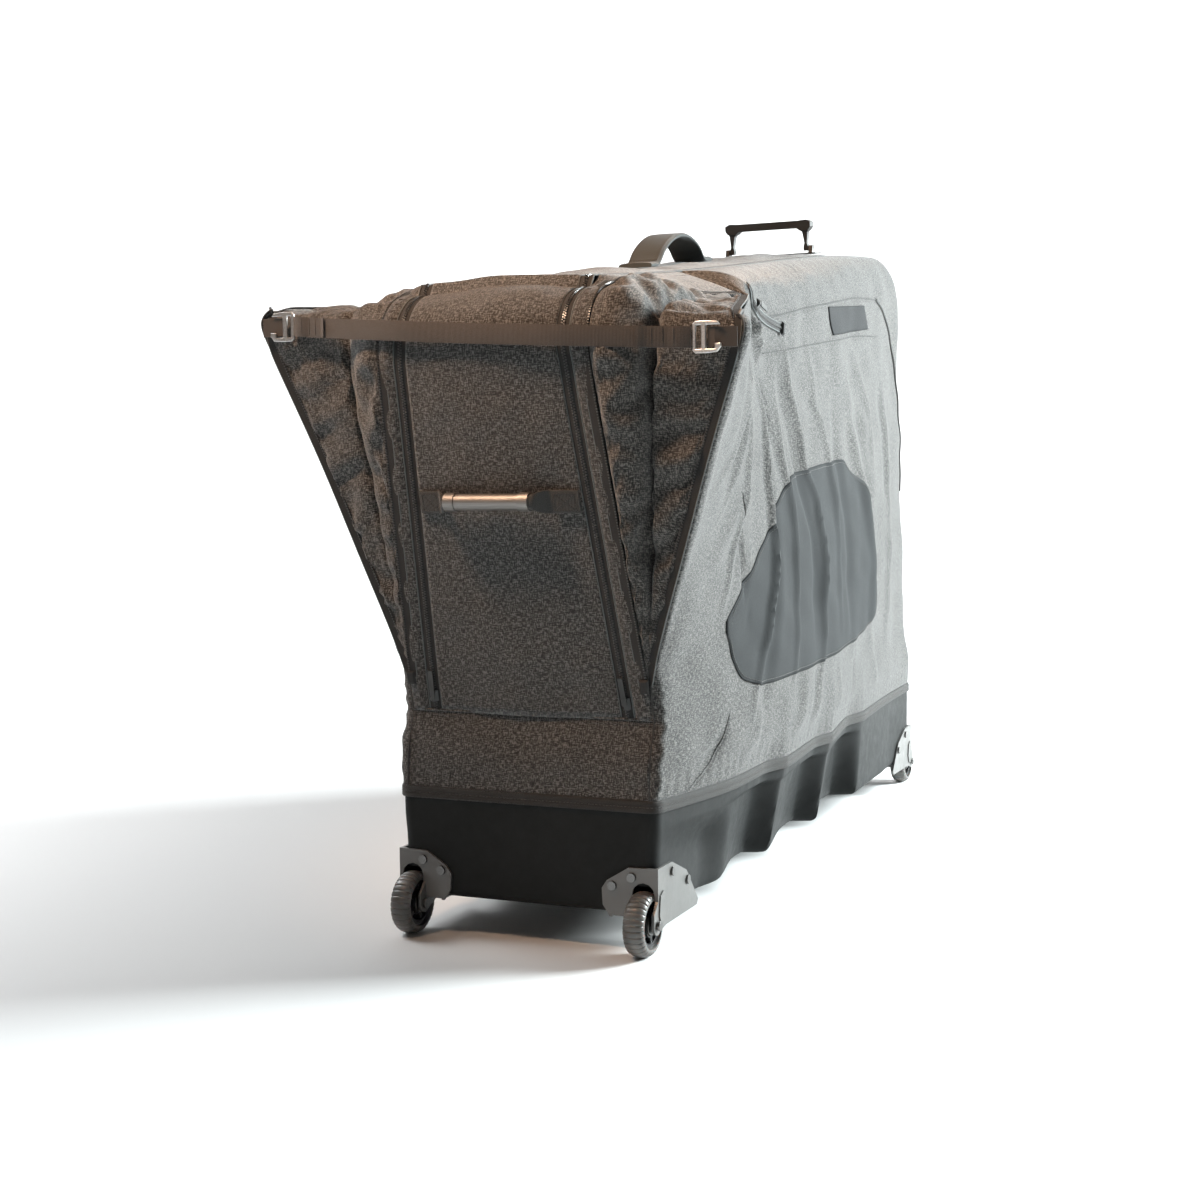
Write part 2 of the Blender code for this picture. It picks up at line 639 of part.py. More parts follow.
def make_corners():
    """Bracket, bolt plate, axle and wheel at each corner of the tub."""
    pieces = wheel_meshes()
    pieces["corner_bracket"] = (bracket_mesh(), "bracket_grey")
    pieces["bolt_plate"] = (bolt_plate_mesh(), "steel")
    for side, side_name in ((1, "right"), (-1, "left")):
        for end, end_name in ((1, "near"), (-1, "far")):
            for piece, (mesh, look) in pieces.items():
                name = f"{piece}_{end_name}_{side_name}"
                add(name, mirrored(mesh, name, side, end), look)


def lean_s(z):
    """Where the near face's plane stands at a height: it leans out towards the top."""
    return NEAR_SEAM_S - math.tan(NEAR_LEAN) * (z - FOLD_Z)


def roof_z(s):
    """Height of the roof's middle line."""
    t = (np.asarray(s, float) - ROOF_START) / (ROOF_END - ROOF_START)
    return ROOF_NEAR_Z + (ROOF_FAR_Z - ROOF_NEAR_Z) * (0.7 * t + 0.3 * smooth(t))


FAR_S = TUB_LENGTH + FAR_FACE_OVERHANG


def fillet(corner, first, second, radius, steps):
    """Points of an arc that rounds a corner from one direction into the next."""
    first, second = unit(first), unit(second)
    turn = math.acos(float(np.clip(first @ second, -1.0, 1.0)))
    start = np.asarray(corner) - first * radius * math.tan(turn / 2.0)
    inward = unit(second - first * (first @ second))
    centre = start + inward * radius
    angles = np.linspace(0.0, turn, steps + 1)[:, None]
    return centre - inward * radius * np.cos(angles) + first * radius * np.sin(angles)


def centre_path(start_z, detail=1):
    """The middle line of the case: up the near face, along the roof and down the far face."""
    lean = np.array((-math.sin(NEAR_LEAN), math.cos(NEAR_LEAN)))
    slope = float(roof_z(-0.03) - roof_z(-0.06)) / 0.03
    ahead = unit((1.0, slope))
    reach = (float(roof_z(-0.05)) - FOLD_Z - slope * (NEAR_SEAM_S + 0.05)) / (lean[1] - slope * lean[0])
    near_corner = np.array((NEAR_SEAM_S, FOLD_Z)) + lean * reach
    near_arc = fillet(near_corner, lean, ahead, NEAR_TOP_RADIUS, 5 * detail)
    far_slope = float(roof_z(ROOF_END) - roof_z(ROOF_END - 0.05)) / 0.05
    far_corner = np.array((FAR_S, float(roof_z(ROOF_END)) + far_slope * (FAR_S - ROOF_END)))
    far_arc = fillet(far_corner, (1.0, far_slope), (0.0, -1.0), FAR_TOP_RADIUS, 5 * detail)
    near_z = np.linspace(start_z, near_arc[0, 1], 5 * detail + 1)[:-1]
    near = np.stack([lean_s(near_z), near_z], axis=1)
    roof_s = np.linspace(near_arc[-1, 0], far_arc[0, 0], 14 * detail + 1)[1:-1]
    roof = np.stack([roof_s, roof_z(roof_s)], axis=1)
    far_z = np.linspace(far_arc[-1, 1], FOLD_Z + GAP, 5 * detail + 1)[1:]
    far = np.stack([np.full_like(far_z, FAR_S), far_z], axis=1)
    parts = (near, near_arc, roof, far_arc, far)
    marks = np.cumsum([len(part) for part in parts])
    return np.concatenate(parts), marks


def path_normals(path):
    """Outward directions along a line of (s, z) points that runs clockwise over the case."""
    run = unit(np.gradient(path, axis=0))
    return np.stack([-run[:, 1], run[:, 0]], axis=1)


def near_zip_x(z):
    """Half distance between the two main zips on the near face, less towards the top."""
    return MAIN_ZIP_X_LOW + (MAIN_ZIP_X_TOP - MAIN_ZIP_X_LOW) * (z - FOLD_Z) / NEAR_FACE_RISE


def main_zip_x(s, z):
    """Half distance between the two main zips at a place on the near face, roof or far face."""
    near = near_zip_x(z)
    roof = MAIN_ZIP_X_TOP + (MAIN_ZIP_X_ROOF - MAIN_ZIP_X_TOP) * np.sin(
        math.pi * np.clip((s - ROOF_START - 0.05) / (ROOF_END - ROOF_START - 0.01), 0.0, 1.0))
    far = MAIN_ZIP_X_TOP + (MAIN_ZIP_X_FAR - MAIN_ZIP_X_TOP) * smooth((0.78 - z) / 0.5)
    near_part = (s < 0.03) & (z < FOLD_Z + NEAR_FACE_RISE)
    far_part = (s > FAR_S - 0.8 * FAR_TOP_RADIUS) & (z < ROOF_FAR_Z - 0.048)
    return np.where(near_part, near, np.where(far_part, far, roof))


def strip_point(path, normal, x, crown_x):
    """World points of the domed centre strip at distances x from the middle."""
    lift = ROOF_CROWN * (1.0 - (x / crown_x) ** 2)
    return np.stack([x, along(path[:, 0] + normal[:, 0] * lift), path[:, 1] + normal[:, 1] * lift],
                    axis=-1)


def make_centre_strip():
    """Near panel, roof panel and far panel: the fixed strip between the two main zips."""
    path, marks = centre_path(FOLD_Z + GAP)
    normal = path_normals(path)
    zip_x = main_zip_x(path[:, 0], path[:, 1])
    edge = zip_x - ZIP_WIDTH / 2.0 - GAP
    spread = np.linspace(-1.0, 1.0, 5)
    grid = np.stack([strip_point(path, normal, edge * k, zip_x) for k in spread], axis=1)
    near_end = marks[1] + 1
    far_start = marks[2] - 3
    for name, part in (("near_panel", grid[:near_end + 1]), ("roof_panel", grid[near_end:far_start + 1]),
                       ("far_panel", grid[far_start:])):
        part = part.copy()
        if name != "near_panel":
            part[0] += unit(part[1] - part[0]) * GAP
        sheet(name, part, "fabric", FABRIC, outward=1)


ZIP_SECTION = (
    (-ZIP_WIDTH / 2.0, -ZIP_THICKNESS), (ZIP_WIDTH / 2.0, -ZIP_THICKNESS), (ZIP_WIDTH / 2.0, -0.0004),
    (ZIP_TEETH / 2.0, -0.0004), (ZIP_TEETH / 2.0, 0.0008), (-ZIP_TEETH / 2.0, 0.0008),
    (-ZIP_TEETH / 2.0, -0.0004), (-ZIP_WIDTH / 2.0, -0.0004))


def make_main_zips():
    """Main zips: tape and teeth from the near seam, over the roof and down the far face."""
    path = centre_path(FOLD_Z + GAP)[0]
    normal = path_normals(path)
    zip_x = main_zip_x(path[:, 0], path[:, 1])
    centres = np.stack([zip_x, along(path[:, 0]), path[:, 1]], axis=1)
    outward = np.stack([np.zeros(len(path)), normal[:, 0], normal[:, 1]], axis=1)
    across = np.tile((1.0, 0.0, 0.0), (len(path), 1))
    for side, name in ((1, "right"), (-1, "left")):
        turned_way = (side, 1.0, 1.0)
        mesh = swept("main_zip_" + name, centres * turned_way, across * turned_way,
                     outward, ZIP_SECTION)
        add("main_zip_" + name, mesh, "zip_black")


def near_zip_line():
    """The straight run of the main zip on the near face: its two ends and its direction."""
    z = FOLD_Z + np.array((0.03, 0.925)) * NEAR_FACE_RISE
    ends = np.stack([near_zip_x(z), along(lean_s(z)), z], axis=1)
    return ends, unit(ends[1] - ends[0])


def slider_mesh(start, run, out):
    """Zip slider with its pull tab, standing on the teeth and hanging down the run."""
    run, out = unit(run), unit(out)
    across = np.cross(run, out)
    base = 0.0008 + GAP
    body_section = ((-SLIDER_WIDTH / 2.0, base), (SLIDER_WIDTH / 2.0, base),
                    (SLIDER_WIDTH / 2.0 - 0.002, base + SLIDER_HEIGHT * 0.6),
                    (0.0018, base + SLIDER_HEIGHT), (-0.0018, base + SLIDER_HEIGHT),
                    (-SLIDER_WIDTH / 2.0 + 0.002, base + SLIDER_HEIGHT * 0.6))
    places = [start + run * d for d in (0.0, SLIDER_LENGTH)]
    body = swept("slider", places, [across] * 2, [out] * 2, body_section)
    top = base + SLIDER_HEIGHT - 0.0012
    pull_section = ((-PULL_WIDTH / 2.0, top), (PULL_WIDTH / 2.0, top),
                    (PULL_WIDTH / 2.0, top + 0.0018), (-PULL_WIDTH / 2.0, top + 0.0018))
    reach = [start + run * d for d in (SLIDER_LENGTH * 0.4, SLIDER_LENGTH * 0.4 + PULL_LENGTH)]
    pull = swept("pull", reach, [across] * 2, [out] * 2, pull_section)
    return shaped("slider", body, [("UNION", pull)])


def make_main_sliders():
    """One slider on each main zip, parked at the closed lower end of the near face."""
    ends, run = near_zip_line()
    out = (0.0, -math.cos(NEAR_LEAN), -math.sin(NEAR_LEAN))
    for side, name in ((1, "right"), (-1, "left")):
        flip = np.array((side, 1.0, 1.0))
        mesh = slider_mesh(ends[0] * flip, run * flip, out)
        add("main_slider_" + name, mesh, "zip_black")


def edge_s(z):
    """Where the wing's front edge stands along the case at a height."""
    t = (z - GUSSET_FOOT_Z) / WING_RISE
    low = WING_EDGE_S_LOW + (GUSSET_FOOT_Z - z) * 0.2
    return np.where(t < 0.0, low, WING_EDGE_S_LOW + (WING_EDGE_S_TOP - WING_EDGE_S_LOW) * t)


def wall_half_width(s, z, side):
    """Half width of the fabric wall below the shoulder, with the wing's flare near the end."""
    belly = (RIM_BULGE - SIDE_WAIST * smooth((z - FOLD_Z) / 0.30)) * hump(s)
    waist = UPPER_WAIST * smooth((z - 0.40) / 0.25)
    rise = np.clip((z - GUSSET_FOOT_Z) / WING_RISE, 0.0, 1.1)
    fade = np.clip(1.0 - (s - edge_s(z)) / WING_LENGTH, 0.0, 1.0) ** 1.5
    return TUB_WIDTH / 2.0 + belly - waist + (WING_SPREAD + waist) * rise * fade


def top_z(s):
    """Top of the fabric in side view: the roof, rounded down into the far face."""
    s = np.asarray(s, float)
    corner = FAR_S - FAR_TOP_RADIUS
    centre_z = roof_z(corner) - FAR_TOP_RADIUS
    past = np.clip(s - corner, 0.0, FAR_TOP_RADIUS)
    arc = centre_z + np.sqrt(np.maximum(FAR_TOP_RADIUS ** 2 - past ** 2, 0.0))
    return np.where(s > corner, arc, roof_z(s))


def edge_distance(s, z):
    """Distance inside the side view's rounded top and far outline."""
    corner = FAR_S - FAR_TOP_RADIUS
    centre_z = roof_z(corner) - FAR_TOP_RADIUS
    from_far = FAR_S - s
    from_top = roof_z(np.minimum(s, corner)) - z
    ds, dz = s - corner, z - centre_z
    rounded = FAR_TOP_RADIUS - np.sqrt(np.maximum(ds, 0.0) ** 2 + np.maximum(dz, 0.0) ** 2)
    in_corner = (ds > 0.0) & (dz > 0.0)
    return np.where(in_corner, rounded, np.minimum(from_far, from_top))


def shoulder(s):
    """Height of the rounded shoulder: squarer where the gusset ends."""
    grow = smooth((np.asarray(s, float) - GUSSET_END_S) / SHOULDER_EASE)
    return SHOULDER_HEIGHT_NEAR + (SHOULDER_HEIGHT - SHOULDER_HEIGHT_NEAR) * grow


def side_half_width(s, z, side):
    """Half width of the whole fabric side: wall, shoulder and far corner in one surface."""
    wall = wall_half_width(s, z, side)
    inner = main_zip_x(s, z) + ZIP_WIDTH / 2.0 + ZIP_EDGE_GAP
    depth = np.clip(edge_distance(s, z) / shoulder(s), 0.0, 1.0)
    turn = (1.0 - (1.0 - depth) ** SHOULDER_POWER) ** (1.0 / SHOULDER_POWER)
    return inner + (wall - inner) * turn


def make_side_panel(side, name):
    """Padded side: from the fold line over the shoulder and round the far corner to the zip."""
    wing_top = WING_TOP_Z[side]
    ease = 1.0 - np.cos(np.linspace(0.0, math.pi / 2.0, 6))
    far_s = FAR_S - SHOULDER_HEIGHT * ease[::-1]
    # Columns stand closer together where the wing's flare curves most.
    first = GUSSET_END_S + GUSSET_SEAM
    middle = first + (FAR_S - SHOULDER_HEIGHT - first) * np.linspace(0.0, 1.0, 11)[:-1] ** 1.6
    columns = []
    for fraction in np.linspace(0.0, 1.0, 6):
        z_top = wing_top + (WING_END_Z - wing_top) * fraction
        z = np.concatenate([np.linspace(FOLD_Z + GAP, z_top - SHOULDER_HEIGHT_NEAR, 7)[:-1],
                            np.linspace(z_top - SHOULDER_HEIGHT_NEAR, z_top, 6)])
        start = edge_s(z)
        s = start + (GUSSET_END_S - start) * fraction
        columns.append(np.stack([wall_half_width(s, z, side), along(s), z], axis=1))
    for place in np.concatenate([middle, far_s]):
        top = float(top_z(place))
        height = float(shoulder(place))
        z = np.concatenate([np.linspace(FOLD_Z + GAP, top - height, 7)[:-1], top - height * ease[::-1]])
        s = np.full_like(z, place)
        columns.append(np.stack([side_half_width(s, z, side), along(s), z], axis=1))
    grid = np.stack(columns, axis=0)
    sheet("side_panel_" + name, grid, "fabric", FABRIC, side, outward=-1)


def gusset_lines(side, rows_front=8, rows_top=7):
    """The two lines that the gusset is sewn between: by the centre strip and on the wing."""
    path, marks = centre_path(GUSSET_FOOT_Z + GUSSET_FOOT_RISE, detail=2)
    s_end = GUSSET_END_S - 0.007
    rest = path[marks[1]:]
    rest = rest[rest[:, 0] < s_end - 0.01]
    path = np.concatenate([path[:marks[1]], rest, [(s_end, roof_z(s_end))]])
    length = np.concatenate([[0.0], np.cumsum(np.linalg.norm(np.diff(path, axis=0), axis=1))])
    corner = length[np.argmin(np.abs(path[:, 1] - 0.690) + 10.0 * (np.arange(len(path)) > marks[1]))]
    places = np.concatenate([np.linspace(0.0, corner, rows_front + 1),
                             np.linspace(corner, length[-1], rows_top + 1)[1:]])
    s = np.interp(places, length, path[:, 0])
    z = np.interp(places, length, path[:, 1])
    over = np.clip((s + 0.05) / (GUSSET_END_S + 0.05), 0.0, 1.0)
    on_top = places > corner
    rise = (z - FOLD_Z) / NEAR_FACE_RISE
    x_front = GUSSET_ZIP_X_LOW + (GUSSET_ZIP_X_TOP - GUSSET_ZIP_X_LOW) * np.clip(rise, 0.0, 1.0)
    x_top = GUSSET_ZIP_X_TOP + (GUSSET_END_X - GUSSET_ZIP_X_TOP) * over ** 1.6
    drop = 0.031 * smooth(over * 1.1)
    inner = np.stack([np.where(on_top, x_top, x_front), along(s), z - np.where(on_top, drop, 0.0)],
                     axis=1)
    wing_top = WING_TOP_Z[side]
    front = np.linspace(0.0, 1.0, rows_front + 1)
    foot = GUSSET_FOOT_Z + GUSSET_FOOT_RISE
    wing_z = foot + (wing_top - foot) * front
    wing = np.stack([wall_half_width(edge_s(wing_z), wing_z, side), along(edge_s(wing_z)), wing_z],
                    axis=1)
    back = np.linspace(0.0, 1.0, rows_top + 1)[1:] * 0.97
    top_line_z = wing_top + (WING_END_Z - wing_top) * back
    start = edge_s(wing_top)
    top_s = start + (GUSSET_END_S - start) * back
    top = np.stack([wall_half_width(top_s, top_line_z, side), along(top_s), top_line_z], axis=1)
    return inner, np.concatenate([wing, top]), rows_front


def place_on(path, length, point):
    """How far along a line of (s, z) points its nearest place to a point is."""
    step = np.diff(path, axis=0)
    share = ((point - path[:-1]) * step).sum(axis=1) / (step ** 2).sum(axis=1)
    share = np.clip(share, 0.0, 1.0)
    nearest = path[:-1] + step * share[:, None]
    best = int(np.argmin(np.hypot(*(nearest - point).T)))
    return length[best] + (length[best + 1] - length[best]) * share[best]


def edge_strip_lines(side):
    """The edge strip's two sides, row by row: beside the main zip and along the gusset."""
    inner, wing, corner = gusset_lines(side)
    path = centre_path(FOLD_Z + GAP, detail=2)[0]
    zip_x = main_zip_x(path[:, 0], path[:, 1]) + ZIP_WIDTH / 2.0 + ZIP_EDGE_GAP
    length = np.cumsum(np.concatenate([[0.0], np.linalg.norm(np.diff(path, axis=0), axis=1)]))
    butt = TUB_WIDTH / 2.0 - FABRIC - 2.0 * GAP
    foot_z = np.array((FOLD_Z + GAP, (FOLD_Z + GUSSET_FOOT_Z) / 2.0))
    foot = np.stack([np.full(2, butt), along(lean_s(foot_z)), foot_z], axis=1)
    outer = np.concatenate([foot, inner - (GAP, 0.0, 0.0)])
    places = [place_on(path, length, np.array((s, z)))
              for s, z in zip(outer[:, 1] - NEAR_END_Y, outer[:, 2])]
    # Towards the gusset's end the rows run askew, so that the strip meets the side panel.
    past = np.clip((outer[:, 1] - NEAR_END_Y - 0.05) / (GUSSET_END_S - 0.05), 0.0, 1.0)
    places = np.maximum.accumulate(np.array(places)) + past ** 2 * GUSSET_SEAM
    main = np.stack([np.interp(places, length, zip_x), along(np.interp(places, length, path[:, 0])),
                     np.interp(places, length, path[:, 1])], axis=1)
    return main, outer


def make_edge_strip(side, name):
    """Strip between the main zip and the gusset zip, over the near edge to the gusset's end."""
    main, outer = edge_strip_lines(side)
    grid = np.stack([main + (outer - main) * k for k in (0.0, 0.5, 1.0)], axis=1)
    sheet("edge_strip_" + name, grid, "fabric", FABRIC, side, outward=1)


def make_gusset(side, name):
    """Gusset: the pleat that opens between the edge strip and the wing, creased inwards."""
    inner, wing, corner = gusset_lines(side)
    start = inner + (RUN_GAP, 0.0, 0.0)
    end = wing - (FABRIC + WING_TAKE_UP, 0.0, 0.0)
    # The last row stops short of the point where the two zip halves meet.
    start[-1] = start[-2] + (start[-1] - start[-2]) * GUSSET_CLOSE
    end[-1] = end[-2] + (end[-1] - end[-2]) * GUSSET_CLOSE
    rows = len(start)
    level = np.arange(rows) / corner
    depth = GUSSET_CREASE * np.minimum(level, 1.0) * np.clip((rows - 1 - np.arange(rows)) / 6.0, 0.0, 1.0)
    tilt = smooth((level - 0.75) / 0.5)
    inward = np.stack([np.zeros(rows), 1.0 - tilt, -tilt], axis=1)
    grid = []
    for t in np.linspace(0.0, 1.0, 5):
        fold = 1.0 - abs(2.0 * t - 1.0)
        grid.append(start + (end - start) * t + inward * (depth * smooth(fold))[:, None])
    grid = np.stack(grid, axis=1)
    sheet("gusset_" + name, grid, "fabric", FABRIC * 0.5, side, outward=1)


def skirt_outline(t):
    """Right half of the lower skirt's outline, near middle to far middle, at a share of its height."""
    corner = TUB_CORNER_RADIUS
    z = TUB_RIM_Z + RUN_GAP + (FOLD_Z - TUB_RIM_Z - RUN_GAP - GAP) * t
    full = SKIRT_FULLNESS * math.sin(math.pi * t) ** 2
    near = -SKIRT_STAND_OFF + (NEAR_SEAM_S + SKIRT_STAND_OFF) * t - full
    far = TUB_LENGTH + SKIRT_STAND_OFF + (FAR_S - TUB_LENGTH - SKIRT_STAND_OFF) * t + full
    s = np.linspace(near + corner, far - corner, 15)
    rim = tub_half_width(s, TUB_RIM_Z, False) + SKIRT_STAND_OFF
    fold = wall_half_width(s, FOLD_Z, 1)
    x = rim + (fold - rim) * t + 0.6 * full
    turn = np.linspace(0.0, math.pi / 2.0, 5)
    near_arc = np.stack([x[0] - corner + corner * np.sin(turn),
                         near + corner - corner * np.cos(turn)], axis=1)
    far_arc = np.stack([x[-1] - corner + corner * np.cos(turn),
                        far - corner + corner * np.sin(turn)], axis=1)
    near_run = np.array([(k * near_arc[0, 0], near) for k in (0.0, 0.35, 0.7, 0.96)])
    far_run = np.array([(k * far_arc[-1, 0], far) for k in (0.6, 0.0)])
    plan = np.concatenate([near_run, near_arc, np.stack([x, s], axis=1)[1:-1], far_arc, far_run])
    return np.array([(a, along(b), z) for a, b in plan])


def make_skirt():
    """Lower fabric: a near band between the corner seams and a skirt round the other sides."""
    half = np.stack([skirt_outline(t) for t in (0.0, 0.3, 0.7, 1.0)], axis=1)
    seam = 3
    band = half[:seam + 1]
    sheet("near_lower_band", np.concatenate([band[::-1] * (-1.0, 1.0, 1.0), band[1:]]), "fabric",
          FABRIC, outward=-1)
    rest = half[seam:].copy()
    rest[0] += unit(half[seam + 1] - half[seam]) * 2.0 * GAP
    mirror = rest[::-1] * (-1.0, 1.0, 1.0)
    sheet("lower_skirt", np.concatenate([rest, mirror[1:]]), "fabric", FABRIC, outward=-1)


def surface_normal(s, z, side):
    """Outward direction of the fabric side at places in side view, found from small steps."""
    step = 0.004
    ds = (side_half_width(s + step, z, side) - side_half_width(s - step, z, side)) / (2.0 * step)
    dz = (side_half_width(s, z + step, side) - side_half_width(s, z - step, side)) / (2.0 * step)
    return unit(np.stack([np.ones_like(ds), -ds, -dz], axis=-1))


def make_logo_panel(side, name):
    """Smooth bare panel sewn on the side: a long shield shape that lies on the fabric."""
    s, low, high = np.array(PANEL_OUTLINE).T
    between = (s[:-1] + s[1:]) / 2.0
    places = np.sort(np.concatenate([s, between]))
    low, high = np.interp(places, s, low), np.interp(places, s, high)
    rise = np.linspace(0.0, 1.0, 4)
    z = low[:, None] + (high - low)[:, None] * rise
    grid_s = np.repeat(places[:, None], len(rise), axis=1)
    x = side_half_width(grid_s, z, side) + PANEL_LIFT + PANEL_THICKNESS
    grid = np.stack([x, along(grid_s), z], axis=-1)
    sheet("logo_panel_" + name, grid, "panel_grey", PANEL_THICKNESS, side, outward=-1)


# Across in tape widths and out in tape thicknesses, with the teeth as a ridge.
TEETH_TOP = 1.7
TAPE_SECTION = (
    (-0.5, 0.0), (0.5, 0.0), (0.5, 1.0), (0.12, 1.0), (0.12, TEETH_TOP), (-0.12, TEETH_TOP),
    (-0.12, 1.0), (-0.5, 1.0))


def make_tape(name, centres, across, normals, side):
    """A zip tape with its teeth, lying on the fabric along a line."""
    flip = np.array((side, 1.0, 1.0))
    mesh = swept(name, centres * flip, across * flip * GUSSET_TAPE_WIDTH,
                 normals * flip * GUSSET_TAPE_THICKNESS, TAPE_SECTION)
    add(name, mesh, "zip_black")


def tape_frames(centres, outward):
    """Directions across and out of a tape, square to its run."""
    run = unit(np.gradient(centres, axis=0))
    across = unit(np.cross(run, outward))
    return across, unit(np.cross(across, run))


def closed_zip_line(side, start_s, end_s, count):
    """Points and outward directions along the closed tail of the gusset zip."""
    s = np.linspace(start_s, end_s, count)
    share = (s - GUSSET_END_S) / (GUSSET_ZIP_END[0] - GUSSET_END_S)
    crest = np.clip(1.0 - (s - GUSSET_END_S) / CREST_LENGTH, 0.0, 1.0)
    z = WING_END_Z + (GUSSET_ZIP_END[1] - WING_END_Z) * share + CREST_RISE * crest
    line = np.stack([side_half_width(s, z, side), along(s), z], axis=1)
    return line, surface_normal(s, z, side)


def make_gusset_zips(side, name):
    """Both halves of the gusset zip, parted round the open gusset, and their closed tail."""
    main, outer = edge_strip_lines(side)
    main, outer = main[2:], outer[2:]
    across = unit(outer - main)
    out = unit(np.cross(unit(np.gradient(outer, axis=0)), across))
    out *= np.sign(out[:, 2:] - out[:, 1:2])
    line = outer - across * (GUSSET_TAPE_WIDTH / 2.0 + GAP)
    tail, tail_out = closed_zip_line(side, GUSSET_END_S + TAIL_START, GUSSET_ZIP_END[0], 8)
    tail_across = unit(np.cross(unit(np.gradient(tail, axis=0)), tail_out))
    line = np.concatenate([line, tail])
    out = np.concatenate([out, tail_out])
    across = np.concatenate([across, tail_across])
    lift = np.concatenate([np.full(len(outer), TAPE_LIFT), np.full(len(tail), TAIL_LIFT)])
    make_tape("gusset_zip_inner_" + name, line + out * lift[:, None], across, out, side)
    wing, corner = gusset_lines(side)[1:]
    level = smooth(np.arange(len(wing)) - corner + 0.5)[:, None]
    outward = unit(np.array((0.0, -1.0, 0.0)) * (1.0 - level) + np.array((0.0, 0.0, 1.0)) * level)
    line = wing[:-1] - np.array((GUSSET_TAPE_WIDTH / 2.0 - 0.001, 0.0, 0.0))
    across, out = tape_frames(line, outward[:-1])
    make_tape("gusset_zip_outer_" + name, line + out * WING_TAPE_LIFT, across, out, side)


def gusset_slider_line(side):
    """The straight run of the closed gusset zip: start, direction and outward direction."""
    ends, out = closed_zip_line(side, GUSSET_END_S + CREST_LENGTH, GUSSET_ZIP_END[0] - 0.020, 2)
    run = unit(ends[1] - ends[0])
    out = out.mean(axis=0)
    out = unit(out - run * (out @ run))
    return ends[0] + out * (TAIL_LIFT + TEETH_TOP * GUSSET_TAPE_THICKNESS), run, out


def make_gusset_slider(side, name):
    """Slider where the gusset zip parts, with its pull along the closed tail."""
    start, run, out = gusset_slider_line(side)
    flip = np.array((side, 1.0, 1.0))
    add("gusset_slider_" + name, slider_mesh(start * flip, run * flip, out * flip), "zip_black")


def make_strap():
    """Webbing strap across the near face, from one wing's hook to the other's."""
    left, right = GAP - HOOK_X[-1], HOOK_X[1] - GAP
    x = left + (right - left) * np.array((0.0, 0.07, 0.175, 0.263, 0.385, 0.513, 0.644, 0.763, 0.85,
                                          0.946, 1.0))
    flat = STRAP_FLAT_HALF
    reach = np.clip((np.abs(x) - flat) / (right - 0.93 * flat), 0.0, 1.0)
    s = STRAP_FRONT_S + (HOOK_S - STRAP_FRONT_S) * reach ** 1.2
    z = STRAP_Z[-1] + (STRAP_Z[1] - STRAP_Z[-1]) * (x - left) / (right - left)
    centres = np.stack([x, along(s), z], axis=1)
    run = unit(np.gradient(centres, axis=0))
    across = np.tile((0.0, 0.0, 1.0), (len(x), 1))
    out = unit(np.cross(across, run))
    half_w, half_t = STRAP_WIDTH / 2.0, STRAP_THICKNESS / 2.0
    section = ((-half_w, -half_t), (half_w, -half_t), (half_w, half_t), (-half_w, half_t))
    add("end_strap", swept("end_strap", centres, across, out, section), "webbing")


def make_hook(side, name):
    """Flat metal hook: a slot for the strap's end and an open slot that hooks over the tab."""
    start = HOOK_X[side]
    z = STRAP_Z[side]
    half = HOOK_HEIGHT / 2.0
    low, high = along(HOOK_S - HOOK_THICKNESS / 2.0), along(HOOK_S + HOOK_THICKNESS / 2.0)
    outline = ((0.0, -half + 0.003), (0.003, -half), (HOOK_LENGTH * 0.55, -half),
               (HOOK_LENGTH - 0.004, -half + 0.001), (HOOK_LENGTH, -half + 0.006),
               (HOOK_LENGTH, half - 0.006), (HOOK_LENGTH - 0.004, half - 0.001),
               (HOOK_LENGTH * 0.55, half), (0.003, half), (0.0, half - 0.003))
    outline = [(side * (start + a), z + b) for a, b in outline]
    cuts = []
    # The slot for the strap, the mouth for the tab, and the way into the mouth.
    for first, last, foot in ((0.13, 0.30, HOOK_RAIL - half), (0.48, 0.78, HOOK_RAIL - half),
                              (0.65, 1.33, 2.2 * HOOK_RAIL - half)):
        x = sorted((side * (start + first * HOOK_LENGTH), side * (start + last * HOOK_LENGTH)))
        cuts.append(("DIFFERENCE", box("cut", (x[0], low - 0.01, z + foot),
                                       (x[1], high + 0.01, z + half - HOOK_RAIL))))
    solid = shaped("hook", prism("hook", outline, "y", low, high), cuts)
    add("g_hook_" + name, solid, "chrome")


def make_tab(side, name):
    """Short webbing tab sewn to the wing's edge, that the hook catches."""
    z = STRAP_Z[side]
    edge = float(wall_half_width(edge_s(z), z, side)) - TAB_INSET
    back = float(edge_s(z)) - TAB_BACK
    front = HOOK_S + HOOK_THICKNESS / 2.0 + GAP + STRAP_THICKNESS / 2.0
    x = np.array((edge, edge - TAB_LENGTH * 0.4, edge - TAB_LENGTH * 0.75, edge - TAB_LENGTH))
    s = np.array((back, back + (front - back) * 0.5, front, front))
    centres = np.stack([side * x, along(s), np.full(4, z)], axis=1)
    run = unit(np.gradient(centres, axis=0))
    across = np.tile((0.0, 0.0, 1.0), (4, 1))
    out = unit(np.cross(across, run))
    half_w, half_t = TAB_WIDTH / 2.0, STRAP_THICKNESS / 2.0
    section = ((-half_w, -half_t), (half_w, -half_t), (half_w, half_t), (-half_w, half_t))
    add("strap_tab_" + name, swept("tab", centres, across, out, section), "webbing")


def end_handle_axis_s():
    """Where the end handle's tube stands along the case."""
    return lean_s(END_HANDLE_Z) - ROOF_CROWN - END_HANDLE_STAND_OFF - END_HANDLE_RADIUS


